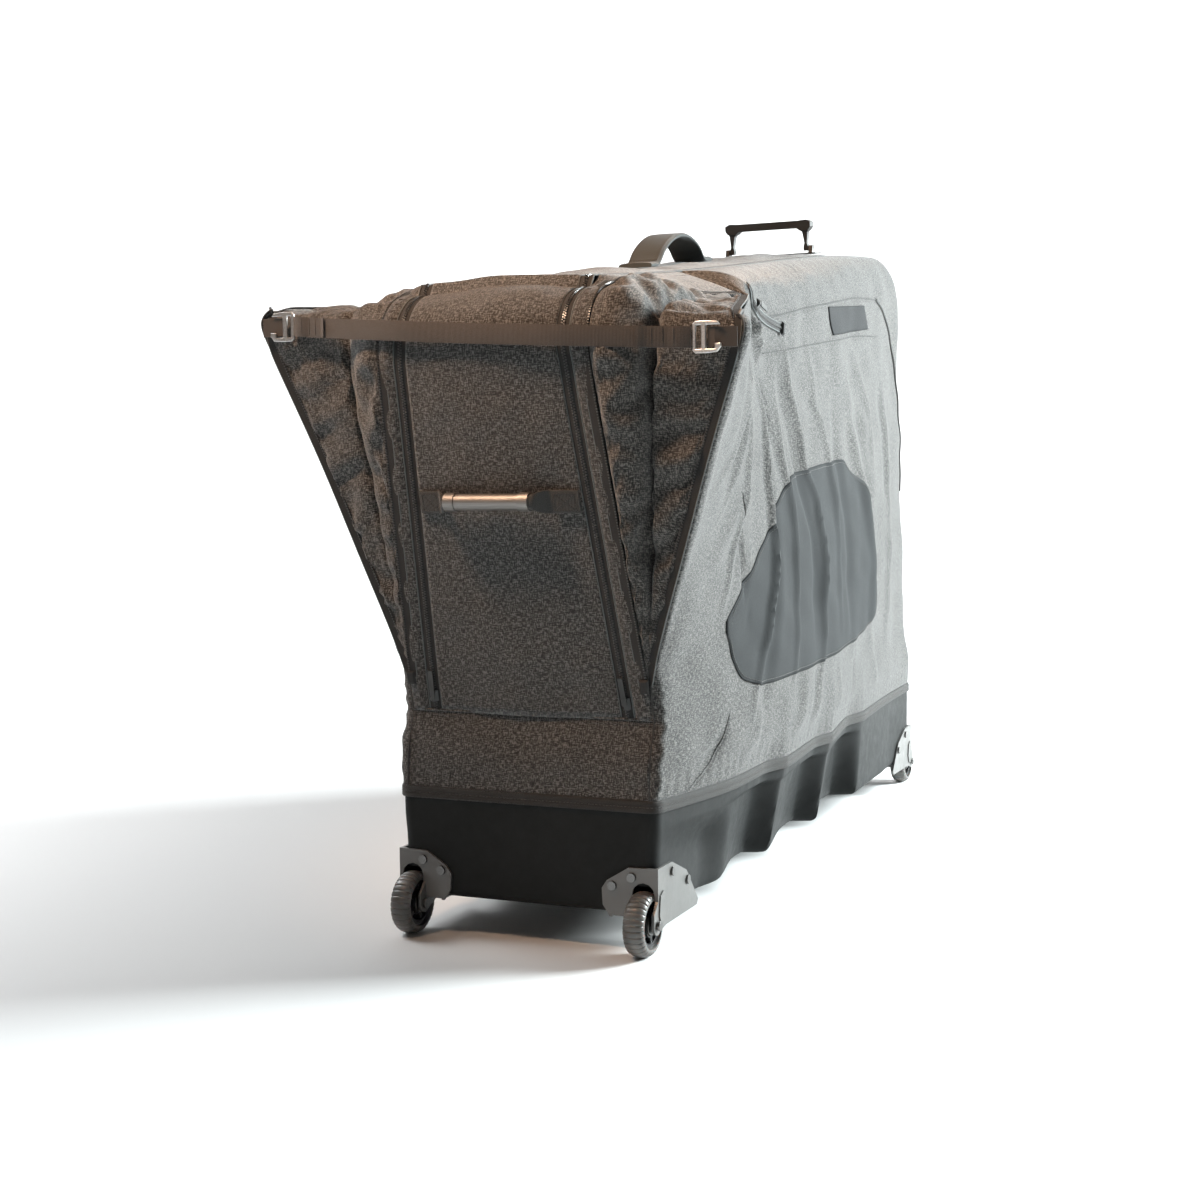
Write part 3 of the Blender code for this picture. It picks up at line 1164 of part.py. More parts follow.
def make_end_handle():
    """Aluminium tube on rolled webbing, whose flat ends are sewn to the near panel."""
    axis = (END_HANDLE_X, along(end_handle_axis_s()), END_HANDLE_Z)
    half = END_HANDLE_LENGTH / 2.0
    grip = END_HANDLE_RADIUS
    wide = grip + END_HANDLE_LIP
    collar = half - END_HANDLE_COLLAR
    profile = ((-half, END_HANDLE_BORE), (-half, wide), (-collar, wide), (-collar, grip),
               (collar, grip), (collar, wide), (half, wide), (half, END_HANDLE_BORE))
    add("end_handle_tube", hoop("tube", turned(profile, 16, axis)), "aluminium")
    face = float(lean_s(END_HANDLE_Z))
    start_x = half + 0.006
    foot = start_x + 0.014
    lift = WEB_THICKNESS / 2.0 + 2.0 * GAP
    stations = []
    for side in (-1, 1):
        out = [(foot + PATCH_LENGTH[side], 0.0, END_HANDLE_WEB), (foot, 0.0, END_HANDLE_WEB),
               (start_x, 1.0, 0.75 * END_HANDLE_WEB), (half - 0.004, 1.0, END_HANDLE_ROLL)]
        part = []
        for x, stand, width in out:
            world_x = END_HANDLE_X + side * x
            dome = ROOF_CROWN * (1.0 - (world_x / near_zip_x(END_HANDLE_Z)) ** 2)
            rest_s = face - dome - lift
            s = rest_s + (end_handle_axis_s() - rest_s) * stand
            part.append((world_x, along(s), END_HANDLE_Z, width))
        stations.append(part)
    line = stations[0] + stations[1][::-1]
    centres = np.array([p[:3] for p in line])
    widths = np.array([p[3] for p in line]) / 2.0
    run = unit(np.gradient(centres, axis=0))
    lean_up = np.array((0.0, -math.sin(NEAR_LEAN), math.cos(NEAR_LEAN)))
    across = np.tile(lean_up, (len(line), 1)) * widths[:, None]
    out = unit(np.cross(run, across)) * WEB_THICKNESS / 2.0
    section = ((-1.0, -1.0), (1.0, -1.0), (1.0, 1.0), (-1.0, 1.0))
    add("end_handle_webbing", swept("webbing", centres, across, out, section), "webbing")


def make_carry_handle():
    """Padded webbing handle that arches along the roof's middle line."""
    start, end = CARRY_HANDLE_S
    t = np.concatenate([[-0.20, 0.0], np.linspace(0.06, 0.94, 11), [1.0, 1.20]])
    s = start + (end - start) * t
    arch = np.sin(math.pi * np.clip(t, 0.0, 1.0)) ** 0.6 * CARRY_HANDLE_RISE
    half_t = CARRY_HANDLE_THICKNESS / 2.0
    z = roof_z(s) + ROOF_CROWN + half_t + 2.0 * GAP + arch
    centres = np.stack([np.zeros(len(s)), along(s), z], axis=1)
    run = unit(np.gradient(centres, axis=0))
    across = np.tile((1.0, 0.0, 0.0), (len(s), 1))
    out = unit(np.cross(across, run))
    half_w = CARRY_HANDLE_WIDTH / 2.0
    section = ((-half_w, -half_t), (half_w, -half_t), (half_w, half_t * 0.4),
               (half_w * 0.8, half_t), (-half_w * 0.8, half_t), (-half_w, half_t * 0.4))
    add("carry_handle", swept("carry_handle", centres, across, out, section), "webbing")


def roof_frame(s):
    """Turn and shift from flat local axes onto the roof at a place."""
    slope = math.atan2(float(roof_z(s + 0.01) - roof_z(s - 0.01)), 0.02)
    base = (0.0, along(s), float(roof_z(s)) + ROOF_CROWN + 2.0 * GAP)
    return Matrix.Translation(base) @ Matrix.Rotation(slope, 4, "X")


def make_bar_handle():
    """Moulded bar handle: a waisted loop that pivots on two pins in its base plate."""
    place = roof_frame(BAR_HANDLE_S)
    half = BAR_HANDLE_SPAN / 2.0
    pivot = BAR_PIVOT_RISE
    top = pivot + BAR_HANDLE_RISE
    bar = BAR_HANDLE_THICKNESS / 2.0
    # Half of the loop in x and height: up the inside of one leg, then down its outside.
    inside = ((half - 0.0075, pivot - BAR_FOOT_DROP), (half - 0.0075, pivot + 0.003),
              (half - 0.0060, pivot + 0.008), (half - 0.0090, top - bar - 0.006),
              (half - 0.0170, top - bar))
    outside = ((half - 0.0140, top + bar), (half - 0.0020, top + bar + 0.001),
               (half + 0.0050, top + 0.003), (half + 0.0050, top - 0.004),
               (half - 0.0005, top - bar - 0.006), (half - 0.0020, pivot + 0.008),
               (half - 0.0005, pivot + 0.003), (half - 0.0005, pivot - BAR_FOOT_DROP))
    outline = (*inside, *[(-x, z) for x, z in inside[::-1]], *[(-x, z) for x, z in outside[::-1]],
               *outside)
    plate = prism("bar", outline, "y", -BAR_HANDLE_DEPTH / 2.0, BAR_HANDLE_DEPTH / 2.0)
    slim = []
    for sign in (1, -1):
        # The feet are slimmer than the bar, so that they turn about their pins.
        y = sorted((sign * BAR_FOOT_RADIUS, sign * 0.03))
        slim.append(box("slim", (-0.2, y[0], -0.02), (0.2, y[1], top - bar - 0.004)))
    pin_hole = prism("hole", disc((0.0, pivot), BAR_PIN_RADIUS + GAP, 8), "x", -0.2, 0.2)
    solid = shaped("bar_handle", plate, [("DIFFERENCE", merged("slim", slim)),
                                         ("DIFFERENCE", pin_hole)])
    solid.transform(place)
    add("bar_handle", solid, "handle_rubber")
    size_x, size_y, thick = BAR_PLATE_SIZE
    base = box("base", (-size_x / 2.0, -size_y / 2.0, 0.0), (size_x / 2.0, size_y / 2.0, thick))
    lug_x = half - 0.0005 + RUN_GAP
    lug_top = pivot + BAR_PIN_RADIUS + 0.0025
    lug_outline = ((-0.008, thick - 0.0005), (0.008, thick - 0.0005), (0.0045, lug_top),
                   (-0.0045, lug_top))
    steps = []
    for sign in (1, -1):
        x = sorted((sign * lug_x, sign * (lug_x + BAR_LUG_WIDTH)))
        steps.append(("UNION", prism("lug", lug_outline, "x", *x)))
        pin_x = sorted((sign * (half - 0.0070), sign * (lug_x + 0.0015)))
        steps.append(("UNION", prism("pin", disc((0.0, pivot), BAR_PIN_RADIUS, 8), "x", *pin_x)))
    solid = shaped("bar_handle_base", base, steps)
    solid.transform(place)
    add("bar_handle_base", solid, "handle_rubber")


def hang(names, pivot):
    """Give moving pieces their origin on the joint they move about."""
    pivot = Vector(pivot)
    for name in names:
        obj = bpy.data.objects[name]
        obj.data.transform(Matrix.Translation(-pivot))
        obj.location = pivot


for builder in (make_tub, make_rim_binding, make_floor_pad, make_corners, make_skirt,
                make_centre_strip, make_main_zips, make_main_sliders, make_strap, make_end_handle,
                make_carry_handle, make_bar_handle):
    builder()
for side, side_name in ((1, "right"), (-1, "left")):
    for builder in (make_side_panel, make_edge_strip, make_gusset, make_logo_panel,
                    make_gusset_zips, make_gusset_slider, make_hook, make_tab):
        builder(side, side_name)

# Moving pieces turn or slide about their own origins.
for sign, side_name in ((1, "right"), (-1, "left")):
    for end_name, y in (("near", along(WHEEL_S)), ("far", along(TUB_LENGTH - WHEEL_S))):
        corner = f"_{end_name}_{side_name}"
        hang(["wheel_tyre" + corner, "wheel_core" + corner, "wheel_bearing" + corner],
             (sign * WHEEL_X, y, WHEEL_RADIUS))
    hang([piece + side_name for piece in ("side_panel_", "edge_strip_", "gusset_", "logo_panel_",
                                          "gusset_zip_inner_", "gusset_zip_outer_", "strap_tab_")],
         (sign * FOLD_X, 0.0, FOLD_Z))
    hang(["main_slider_" + side_name], near_zip_line()[0][0] * (sign, 1.0, 1.0))
    hang(["gusset_slider_" + side_name], gusset_slider_line(sign)[0] * (sign, 1.0, 1.0))
hang(["end_strap", "g_hook_left", "g_hook_right"],
     (-HOOK_X[-1] - HOOK_LENGTH / 2.0, along(HOOK_S), STRAP_Z[-1]))
hang(["end_handle_tube"], (END_HANDLE_X, along(end_handle_axis_s()), END_HANDLE_Z))
hang(["bar_handle"], roof_frame(BAR_HANDLE_S) @ Vector((0.0, 0.0, BAR_PIVOT_RISE)))
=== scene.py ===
"""Bike travel case in a plain studio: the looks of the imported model, one section for each piece.

Places along the case are written s, the distance from the tub's near end wall, and z is the
height above the floor. The side is 1 for the right half of the case and -1 for the left half,
which is its mirror image. Lengths are in metres.
"""
import json
import math
from contextlib import contextmanager

import bmesh
import bpy
import numpy as np
from mathutils import Matrix, Vector

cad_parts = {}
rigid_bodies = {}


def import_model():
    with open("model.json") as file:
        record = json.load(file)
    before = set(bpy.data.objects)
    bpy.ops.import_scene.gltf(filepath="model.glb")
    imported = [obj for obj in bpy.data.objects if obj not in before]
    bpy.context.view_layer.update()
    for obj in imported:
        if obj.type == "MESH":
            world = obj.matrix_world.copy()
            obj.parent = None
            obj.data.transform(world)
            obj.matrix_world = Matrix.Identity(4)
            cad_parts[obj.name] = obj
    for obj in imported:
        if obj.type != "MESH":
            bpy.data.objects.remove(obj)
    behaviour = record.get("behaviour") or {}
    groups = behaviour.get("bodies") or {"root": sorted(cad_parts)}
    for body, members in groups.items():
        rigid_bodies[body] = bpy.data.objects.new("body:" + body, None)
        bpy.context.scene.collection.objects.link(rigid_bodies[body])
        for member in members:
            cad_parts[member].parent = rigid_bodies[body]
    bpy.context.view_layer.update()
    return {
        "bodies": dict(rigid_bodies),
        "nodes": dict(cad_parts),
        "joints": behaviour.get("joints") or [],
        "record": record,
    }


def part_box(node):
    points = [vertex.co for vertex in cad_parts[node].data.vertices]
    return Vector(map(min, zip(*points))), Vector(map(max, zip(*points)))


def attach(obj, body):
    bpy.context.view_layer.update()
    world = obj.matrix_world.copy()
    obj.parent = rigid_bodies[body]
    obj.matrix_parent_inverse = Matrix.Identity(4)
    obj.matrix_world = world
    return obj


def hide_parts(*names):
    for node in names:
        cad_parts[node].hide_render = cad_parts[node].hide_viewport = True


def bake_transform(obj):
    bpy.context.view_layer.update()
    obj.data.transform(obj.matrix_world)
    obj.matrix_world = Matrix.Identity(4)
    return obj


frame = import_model()
nodes = frame["nodes"]


# Camera
# A 53 mm lens half a metre above the floor, off the right corner of the handlebar end.
def linked(name, data):
    """A new object in the scene."""
    obj = bpy.data.objects.new(name, data)
    bpy.context.scene.collection.objects.link(obj)
    return obj


yaw, pitch, roll = math.radians(23.437), math.radians(4.073), math.radians(-0.5825)
forward = Vector((-math.sin(yaw) * math.cos(pitch), math.cos(yaw) * math.cos(pitch),
                  -math.sin(pitch)))
level = Vector((math.cos(yaw), math.sin(yaw), 0.0))
upright = level.cross(forward)
camera_right = math.cos(roll) * level + math.sin(roll) * upright
camera_up = math.cos(roll) * upright - math.sin(roll) * level
lens = bpy.data.cameras.new("photo_camera")
lens.lens = 52.75
lens.sensor_width = 36.0
camera = linked("photo_camera", lens)
camera_spot = (0.8310, -2.2382, 0.5112)
camera.matrix_world = Matrix.Translation(camera_spot) @ Matrix(
    (camera_right, camera_up, -forward)).transposed().to_4x4()
bpy.context.scene.camera = camera


# Studio
# A pale floor that curves up into a plain wall, one large cool light from the right, a small warm
# one above the handlebar end, a weak card in front, one over the floor and two on the wall.
def eased(values, axis):
    """Running mean of 21 values along one axis of a table, carried on straight past its ends."""
    reach = 10
    wide = [(reach, reach) if k == axis else (0, 0) for k in (0, 1)]
    padded = np.pad(values, wide, mode="reflect", reflect_type="odd")
    count, steps = values.shape[axis], 2 * reach + 1
    return sum(np.take(padded, range(k, k + count), axis=axis) for k in range(steps)) / steps


@contextmanager
def edited(mesh):
    """A mesh opened for changes, which are written back where the block ends."""
    work = bmesh.new()
    work.from_mesh(mesh)
    yield work
    work.to_mesh(mesh)
    work.free()


def surface(name, grid, round_about=False, loop=False, capped=False, inside=None):
    """Quads between neighbours of a grid of points (rows, columns, 3), with a UV map in metres:
    u is the length walked along a row, v the length walked along a column, both eased on large
    open sheets. round_about joins the last column to the first, loop the last row to the first,
    and capped closes both end rows. Faces point away from the point inside, or outwards where
    the surface is closed."""
    rows, columns = grid.shape[:2]
    wide, tall = columns + round_about, rows + loop
    full = np.concatenate([grid, grid[:, :1]], axis=1) if round_about else grid
    full = np.concatenate([full, full[:1]], axis=0) if loop else full
    r, c = np.mgrid[0:tall - 1, 0:wide - 1]
    corner_r = np.stack([r, r, r + 1, r + 1], axis=-1).reshape(-1, 4)
    corner_c = np.stack([c, c + 1, c + 1, c], axis=-1).reshape(-1, 4)
    faces = ((corner_r % rows) * columns + corner_c % columns).tolist()
    if capped:
        faces += [list(range(columns)), list(range((rows - 1) * columns, rows * columns))]
    mesh = bpy.data.meshes.new(name)
    mesh.from_pydata(grid.reshape(-1, 3).tolist(), [], faces)
    u, v = np.zeros((tall, wide)), np.zeros((tall, wide))
    u[:, 1:] = np.cumsum(np.linalg.norm(np.diff(full, axis=1), axis=2), axis=1)
    v[1:] = np.cumsum(np.linalg.norm(np.diff(full, axis=0), axis=2), axis=0)
    if not round_about and not loop and min(rows, columns) > 24:
        u, v = eased(u, 0), eased(v, 1)
    uv = np.stack([u[corner_r, corner_c], v[corner_r, corner_c]], axis=-1).reshape(-1, 2)
    uv = np.concatenate([uv, np.zeros((len(mesh.loops) - len(uv), 2))])
    mesh.uv_layers.new(name="cloth").data.foreach_set("uv", uv.astype(np.float32).ravel())
    with edited(mesh) as work:
        if inside is None:
            bmesh.ops.recalc_face_normals(work, faces=work.faces)
        elif sum(f.normal.dot(f.calc_center_median() - Vector(inside)) for f in work.faces) < 0.0:
            bmesh.ops.reverse_faces(work, faces=work.faces)
    mesh.shade_smooth()
    mesh.set_sharp_from_angle(angle=math.radians(40.0))
    return mesh


def place(name, mesh, material):
    """An object at the origin that wears one material."""
    mesh.materials.clear()
    mesh.materials.append(material)
    return linked(name, mesh)


def finish(name, colour, roughness, **sockets):
    """A Principled material, with any other sockets given by name."""
    material = bpy.data.materials.new(name)
    material.use_nodes = True
    inputs = material.node_tree.nodes["Principled BSDF"].inputs
    inputs["Base Color"].default_value = (*colour, 1.0)
    inputs["Roughness"].default_value = roughness
    for socket, value in sockets.items():
        inputs[socket.replace("_", " ")].default_value = value
    return material


def quarter_turn(count):
    """Angles from nothing to a quarter turn."""
    return np.linspace(0.0, math.pi / 2.0, count)


wall_y, bend, wall_top, half_width = 3.6, 1.2, 5.0, 7.0
sweep_angle = quarter_turn(13)
sweep_y = np.concatenate([[-6.0, 0.0], wall_y + bend * np.sin(sweep_angle), [wall_y + bend]])
sweep_z = np.concatenate([[0.0, 0.0], bend - bend * np.cos(sweep_angle), [wall_top]])
sweep_x = np.linspace(-half_width, half_width, 3)
studio = np.stack([np.repeat(sweep_x[None, :], len(sweep_y), axis=0),
                   np.repeat(sweep_y[:, None], 3, axis=1),
                   np.repeat(sweep_z[:, None], 3, axis=1)], axis=-1)
floor = place("studio_floor", surface("studio_floor", studio, inside=(0.0, 3.0, -3.0)),
              finish("studio_white", (0.70, 0.70, 0.70), 0.9))

world = bpy.data.worlds.new("studio_air")
world.use_nodes = True
world.node_tree.nodes["Background"].inputs["Color"].default_value = (1.0, 0.94, 0.88, 1.0)
world.node_tree.nodes["Background"].inputs["Strength"].default_value = 0.05
bpy.context.scene.world = world
bpy.context.scene.view_settings.view_transform = "Standard"
for name, spot, aim, size, spread, power, colour in (
        ("key_light", (2.9, 2.3, 1.75), (0.1, 0.05, 0.45), 1.6, 180.0, 700.0, (0.91, 0.99, 1.0)),
        ("top_light", (-0.40, -1.26, 1.78), (0.0, -0.42, 0.84), 0.32, 44.0, 4.4,
         (1.0, 0.66, 0.45)),
        ("front_card", (-1.2, -4.2, 1.0), (0.1, -0.5, 0.55), 2.0, 180.0, 5.0, (1.0, 0.86, 0.76)),
        ("wall_light_right", (-1.4, 2.0, 3.6), (-1.0, 4.8, 1.4), 2.0, 180.0, 175.0,
         (1.0, 1.0, 1.0)),
        ("wall_light_left", (-4.8, 1.6, 3.4), (-4.6, 4.8, 1.2), 2.4, 180.0, 222.0,
         (1.0, 1.0, 1.0)),
        ("shadow_light", (-2.9, -0.5, 2.4), (-2.1, -1.4, 0.0), 1.8, 90.0, 74.0,
         (0.97, 0.99, 1.0))):
    lamp = bpy.data.lights.new(name, "AREA")
    lamp.size = size
    lamp.spread = math.radians(spread)
    lamp.energy = power
    lamp.color = colour
    light = linked(name, lamp)
    light.location = spot
    light.rotation_euler = (Vector(aim) - Vector(spot)).to_track_quat("-Z", "Y").to_euler()


# Tub
# A shell of matt black plastic, formed in a mould: a smooth near end, and long sides with three
# tapering grooves that stop at a ledge under the rim, and a box in each corner for its wheel.
NEAR_Y, TUB_LENGTH, TUB_HALF = -0.532, 1.130, 0.153
FLOOR_Z, RIM_Z, WALL, CORNER, FLOOR_ROUND = 0.043, 0.164, 0.004, 0.014, 0.009
RIM_BULGE, FLOOR_BULGE = 0.042, 0.020
GROOVES = ((0.13, 0.31, 0.350), (0.27, 0.51, 0.560), (0.50, 0.705, 0.765))
WELL_X, WELL_DEPTH, WELL_TOP_Z = 0.1225, 0.0345, 0.0745


def clamp(t):
    """Values held between 0 and 1."""
    return np.clip(t, 0.0, 1.0)


def smooth(t):
    """3 t^2 - 2 t^3 between 0 and 1."""
    t = clamp(t)
    return t * t * (3.0 - 2.0 * t)


def unit(v):
    """Vectors made one long."""
    v = np.asarray(v, float)
    return v / np.linalg.norm(v, axis=-1, keepdims=True)


def hump(s):
    """sin(pi u^0.643)^1.6 with u = s / length: how far the sides belly out along the case."""
    return np.sin(math.pi * clamp(s / TUB_LENGTH) ** 0.643) ** 1.6


def groove(s, z):
    """Depth of the grooves, 0 to 1: each deepens along s, then ends in a short step that is
    longer towards the rim."""
    rise = clamp((z - FLOOR_Z) / (RIM_Z - FLOOR_Z))
    step = 0.020 + 0.055 * rise
    depth = np.zeros(np.broadcast(s, z).shape)
    for start, deepest, end in GROOVES:
        depth = np.maximum(depth, smooth((s - start) / (deepest - start))
                           * (1.0 - smooth((s - end + step) / step)))
    return depth


def tub_half(s, z):
    """Half width of the tub: belly minus groove, flat beside the brackets, with the groove
    deeper below the ledge than at the rim."""
    rise = clamp((z - FLOOR_Z) / (RIM_Z - FLOOR_Z))
    belly = (FLOOR_BULGE + (RIM_BULGE - FLOOR_BULGE) * rise) * hump(s)
    bracket_top, bracket_end, ledge_z = 0.100, 0.125, 0.134
    seat = 1.0 - smooth((z - bracket_top) / 0.038)
    ends = smooth((s - bracket_end) / 0.06) * smooth((TUB_LENGTH - bracket_end - s) / 0.06)
    deep = 0.013 + (0.021 - 0.010 * rise) * (1.0 - smooth((z - ledge_z) / 0.008))
    return TUB_HALF + belly * (1.0 - seat * (1.0 - ends)) - deep * groove(s, z)


def tub_ring(z, inset):
    """The outline at one height: quarter circles at the corners, straight ends, and the sides'
    half width between them, all drawn in by an inset. Right half first, then its mirror."""
    s = np.linspace(CORNER, TUB_LENGTH - CORNER, 260)
    side = np.stack([tub_half(s, z) - inset, s], axis=1)
    turn = quarter_turn(9)
    arc = CORNER - inset
    near = np.stack([side[0, 0] - arc + arc * np.sin(turn), CORNER - arc * np.cos(turn)], axis=1)
    far = np.stack([side[-1, 0] - arc + arc * np.cos(turn),
                    TUB_LENGTH - CORNER + arc * np.sin(turn)], axis=1)
    across = np.linspace(0.0, 1.0, 12)[:-1, None]
    near_run = np.concatenate([across * near[0, 0], across * 0.0 + near[0, 1]], axis=1)
    far_run = np.concatenate([across[::-1] * far[-1, 0], across * 0.0 + far[-1, 1]], axis=1)
    half = np.concatenate([near_run, near, side[1:-1], far, far_run])
    ring = np.concatenate([half, half[-2:0:-1] * (-1.0, 1.0)])
    return np.stack([ring[:, 0], NEAR_Y + ring[:, 1], np.full(len(ring), z)], axis=1)


def wires(material):
    """Two functions for a material. add makes a node, sets what is given by name, or by number
    for inputs that share a name, and returns one of its outputs. feed does it for an input of
    the Principled shader. A value that is another node's output is linked."""
    tree = material.node_tree

    def join(inputs, key, value):
        if isinstance(value, bpy.types.NodeSocket):
            tree.links.new(value, inputs[key])
        else:
            inputs[key].default_value = value

    def add(kind, output, numbered=(), **named):
        node = tree.nodes.new("ShaderNode" + kind)
        for key, value in named.items():
            if key.replace("_", " ") in node.inputs:
                join(node.inputs, key.replace("_", " "), value)
            else:
                setattr(node, key, value)
        for key, value in numbered:
            join(node.inputs, key, value)
        return node.outputs[output]

    def feed(key, value):
        join(tree.nodes["Principled BSDF"].inputs, key, value)

    return add, feed


def ramp(add, factor, stops):
    """A colour ramp over a factor: stops are (place, colour)."""
    output = add("ValToRGB", "Color", Fac=factor)
    elements = output.node.color_ramp.elements
    for element, (position, colour) in zip(elements, (stops[0], stops[-1])):
        element.position, element.color = position, (*colour, 1.0)
    for position, colour in stops[1:-1]:
        elements.new(position).color = (*colour, 1.0)
    return output


def noise_on_axes(add, scale, detail, **values):
    """Noise on the piece's own axes."""
    return add("TexNoise", "Fac", Vector=add("TexCoord", "Object"), Scale=scale, Detail=detail,
               **values)


def mottled(material, scale, detail, *stops):
    """Tints a material by noise on its own axes: stops are (place, colour)."""
    add, feed = wires(material)
    feed("Base Color", ramp(add, noise_on_axes(add, scale, detail), stops))


def bumpy(material, height, distance, strength):
    """Feeds a height into the shader's normal through a Bump node."""
    add, feed = wires(material)
    feed("Normal", add("Bump", "Normal", Height=height, Distance=distance, Strength=strength))


def moulded(name, dark, light, roughness, grain=900.0, depth=0.0003, **sockets):
    """Moulded plastic: a fine leathery grain, with slow changes of tone and of gloss."""
    material = finish(name, dark, roughness, **sockets)
    add, feed = wires(material)
    mottled(material, 9.0, 4.0, (0.35, dark), (0.70, light))
    scuff = noise_on_axes(add, 60.0, 6.0, Roughness=0.7)
    feed("Roughness", add("MapRange", "Result", Value=scuff, From_Min=0.3, From_Max=0.7,
                          To_Min=roughness - 0.07, To_Max=roughness + 0.10))
    bumpy(material, noise_on_axes(add, grain, 3.0), depth, 0.5)
    return material


def block(low, high):
    """A box between two corners, as a mesh."""
    mesh = bpy.data.meshes.new("block")
    size = Vector(high) - Vector(low)
    with edited(mesh) as work:
        bmesh.ops.create_cube(work, size=1.0)
        work.transform(Matrix.Translation(Vector(low) + size / 2.0)
                       @ Matrix.Diagonal((*size, 1.0)))
    return mesh


def cut(mesh, steps):
    """The mesh after a list of (operation, mesh) Booleans, with no helper left behind."""
    obj = linked("cut", mesh)
    helpers = [linked("cutter", other) for operation, other in steps]
    for helper, (operation, other) in zip(helpers, steps):
        modifier = obj.modifiers.new(operation, "BOOLEAN")
        modifier.operation = operation
        modifier.solver = "EXACT"
        modifier.object = helper
    bpy.context.view_layer.update()
    graph = bpy.context.evaluated_depsgraph_get()
    done = bpy.data.meshes.new_from_object(obj.evaluated_get(graph))
    for helper in (obj, *helpers):
        bpy.data.objects.remove(helper, do_unlink=True)
    done.shade_smooth()
    done.set_sharp_from_angle(angle=math.radians(35.0))
    return done


def blocks_at_corners(grow, past):
    """Four boxes for the wheel wells, grown by a wall, that stick out past the tub."""
    mesh = bpy.data.meshes.new("wells")
    with edited(mesh) as work:
        for side in (1.0, -1.0):
            for end in (0.0, 1.0):
                x = sorted((side * (WELL_X - grow), side * (TUB_HALF - 0.001 + past)))
                out = 2.0 * end - 1.0
                end_y = NEAR_Y + end * TUB_LENGTH
                y = sorted((end_y + out * past, end_y - out * (WELL_DEPTH + grow)))
                work.from_mesh(block((x[0], y[0], FLOOR_Z + 0.001 - past),
                                     (x[1], y[1], WELL_TOP_Z + grow)))
    return mesh


def fixed(piece, body, slot, *replaced):
    """Says which body a piece rides on and which CAD nodes it replaces; slot, whose finish it
    takes, is not used.
    """
    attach(piece, body)
    if replaced:
        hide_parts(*replaced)
    return piece


round_turn = quarter_turn(6)
outer_levels = [(FLOOR_Z + FLOOR_ROUND * (1.0 - math.cos(a)), FLOOR_ROUND * (1.0 - math.sin(a)))
                for a in round_turn]
outer_levels += [(z, 0.0) for z in (0.060, 0.072, 0.086, 0.100, 0.112, 0.122, 0.130, 0.134, 0.1355,
                                    0.137, 0.1385, 0.140, 0.142, 0.145, 0.150, 0.157, RIM_Z)]
inner_levels = [(z, WALL) for z in (RIM_Z, 0.150, 0.142, 0.140, 0.137, 0.134, 0.130, 0.112, 0.086,
                                    0.060, 0.052)]
inner_levels.append((FLOOR_Z + WALL, 2.0 * WALL))
tub_rings = np.stack([tub_ring(z, inset) for z, inset in outer_levels + inner_levels])
tub_shell = cut(surface("tub_shell", tub_rings, round_about=True, capped=True),
                [("UNION", blocks_at_corners(WALL, -0.0005)),
                 ("DIFFERENCE", blocks_at_corners(0.0, 0.03))])
tub_black = moulded("tub_black", (0.008, 0.009, 0.009), (0.012, 0.013, 0.013), 0.60,
                    Specular_IOR_Level=0.18)
fixed(place("tub_shell", tub_shell, tub_black), "base", "tub", "tub")


# Rim binding
# A woven tape folded over the tub's rim and the cloth's lower edge, sewn through along its
# middle.
def woven(name, dark, light, rib_pitch, roughness=0.85, sheen=0.15):
    """Webbing: ribs across the piece's length on its own UV map, with speckled yarn."""
    material = finish(name, dark, roughness, Sheen_Weight=sheen)
    add, feed = wires(material)
    uv = add("UVMap", "UV", uv_map="cloth")
    stretched = add("Mapping", "Vector", Vector=uv, Scale=(700.0, 1600.0, 1.0))
    yarn = add("TexNoise", "Fac", Vector=stretched, Scale=1.0, Detail=3.0, Roughness=0.65)
    ribs = add("TexWave", "Fac", wave_type="BANDS", bands_direction="Y", wave_profile="SIN",
               Vector=uv, Scale=0.314 / rib_pitch, Distortion=0.6, Detail=1.0, Detail_Scale=300.0)
    feed("Base Color", ramp(add, yarn, ((0.30, dark), (0.72, light))))
    height = add("Math", "Value", ((0, yarn), (1, ribs)), operation="MULTIPLY")
    bumpy(material, height, rib_pitch * 0.5, 0.8)
    return material


def along_rim(profile):
    """A profile of (outwards, height) points carried round the tub's rim."""
    return np.stack([tub_ring(RIM_Z, -out) + (0.0, 0.0, z - RIM_Z) for out, z in profile], axis=1)


def walk(points):
    """The length walked along a line up to each of its points."""
    steps = np.linalg.norm(np.diff(points, axis=0), axis=1)
    return np.concatenate([[0.0], np.cumsum(steps)])


def heading(line):
    """Directions along a line, one long."""
    return unit(np.gradient(line, axis=0))


def between(places, walked, values):
    """Rows of values at some places along a line, from those at the lengths walked."""
    return np.stack([np.interp(places, walked, column) for column in np.asarray(values).T], axis=1)


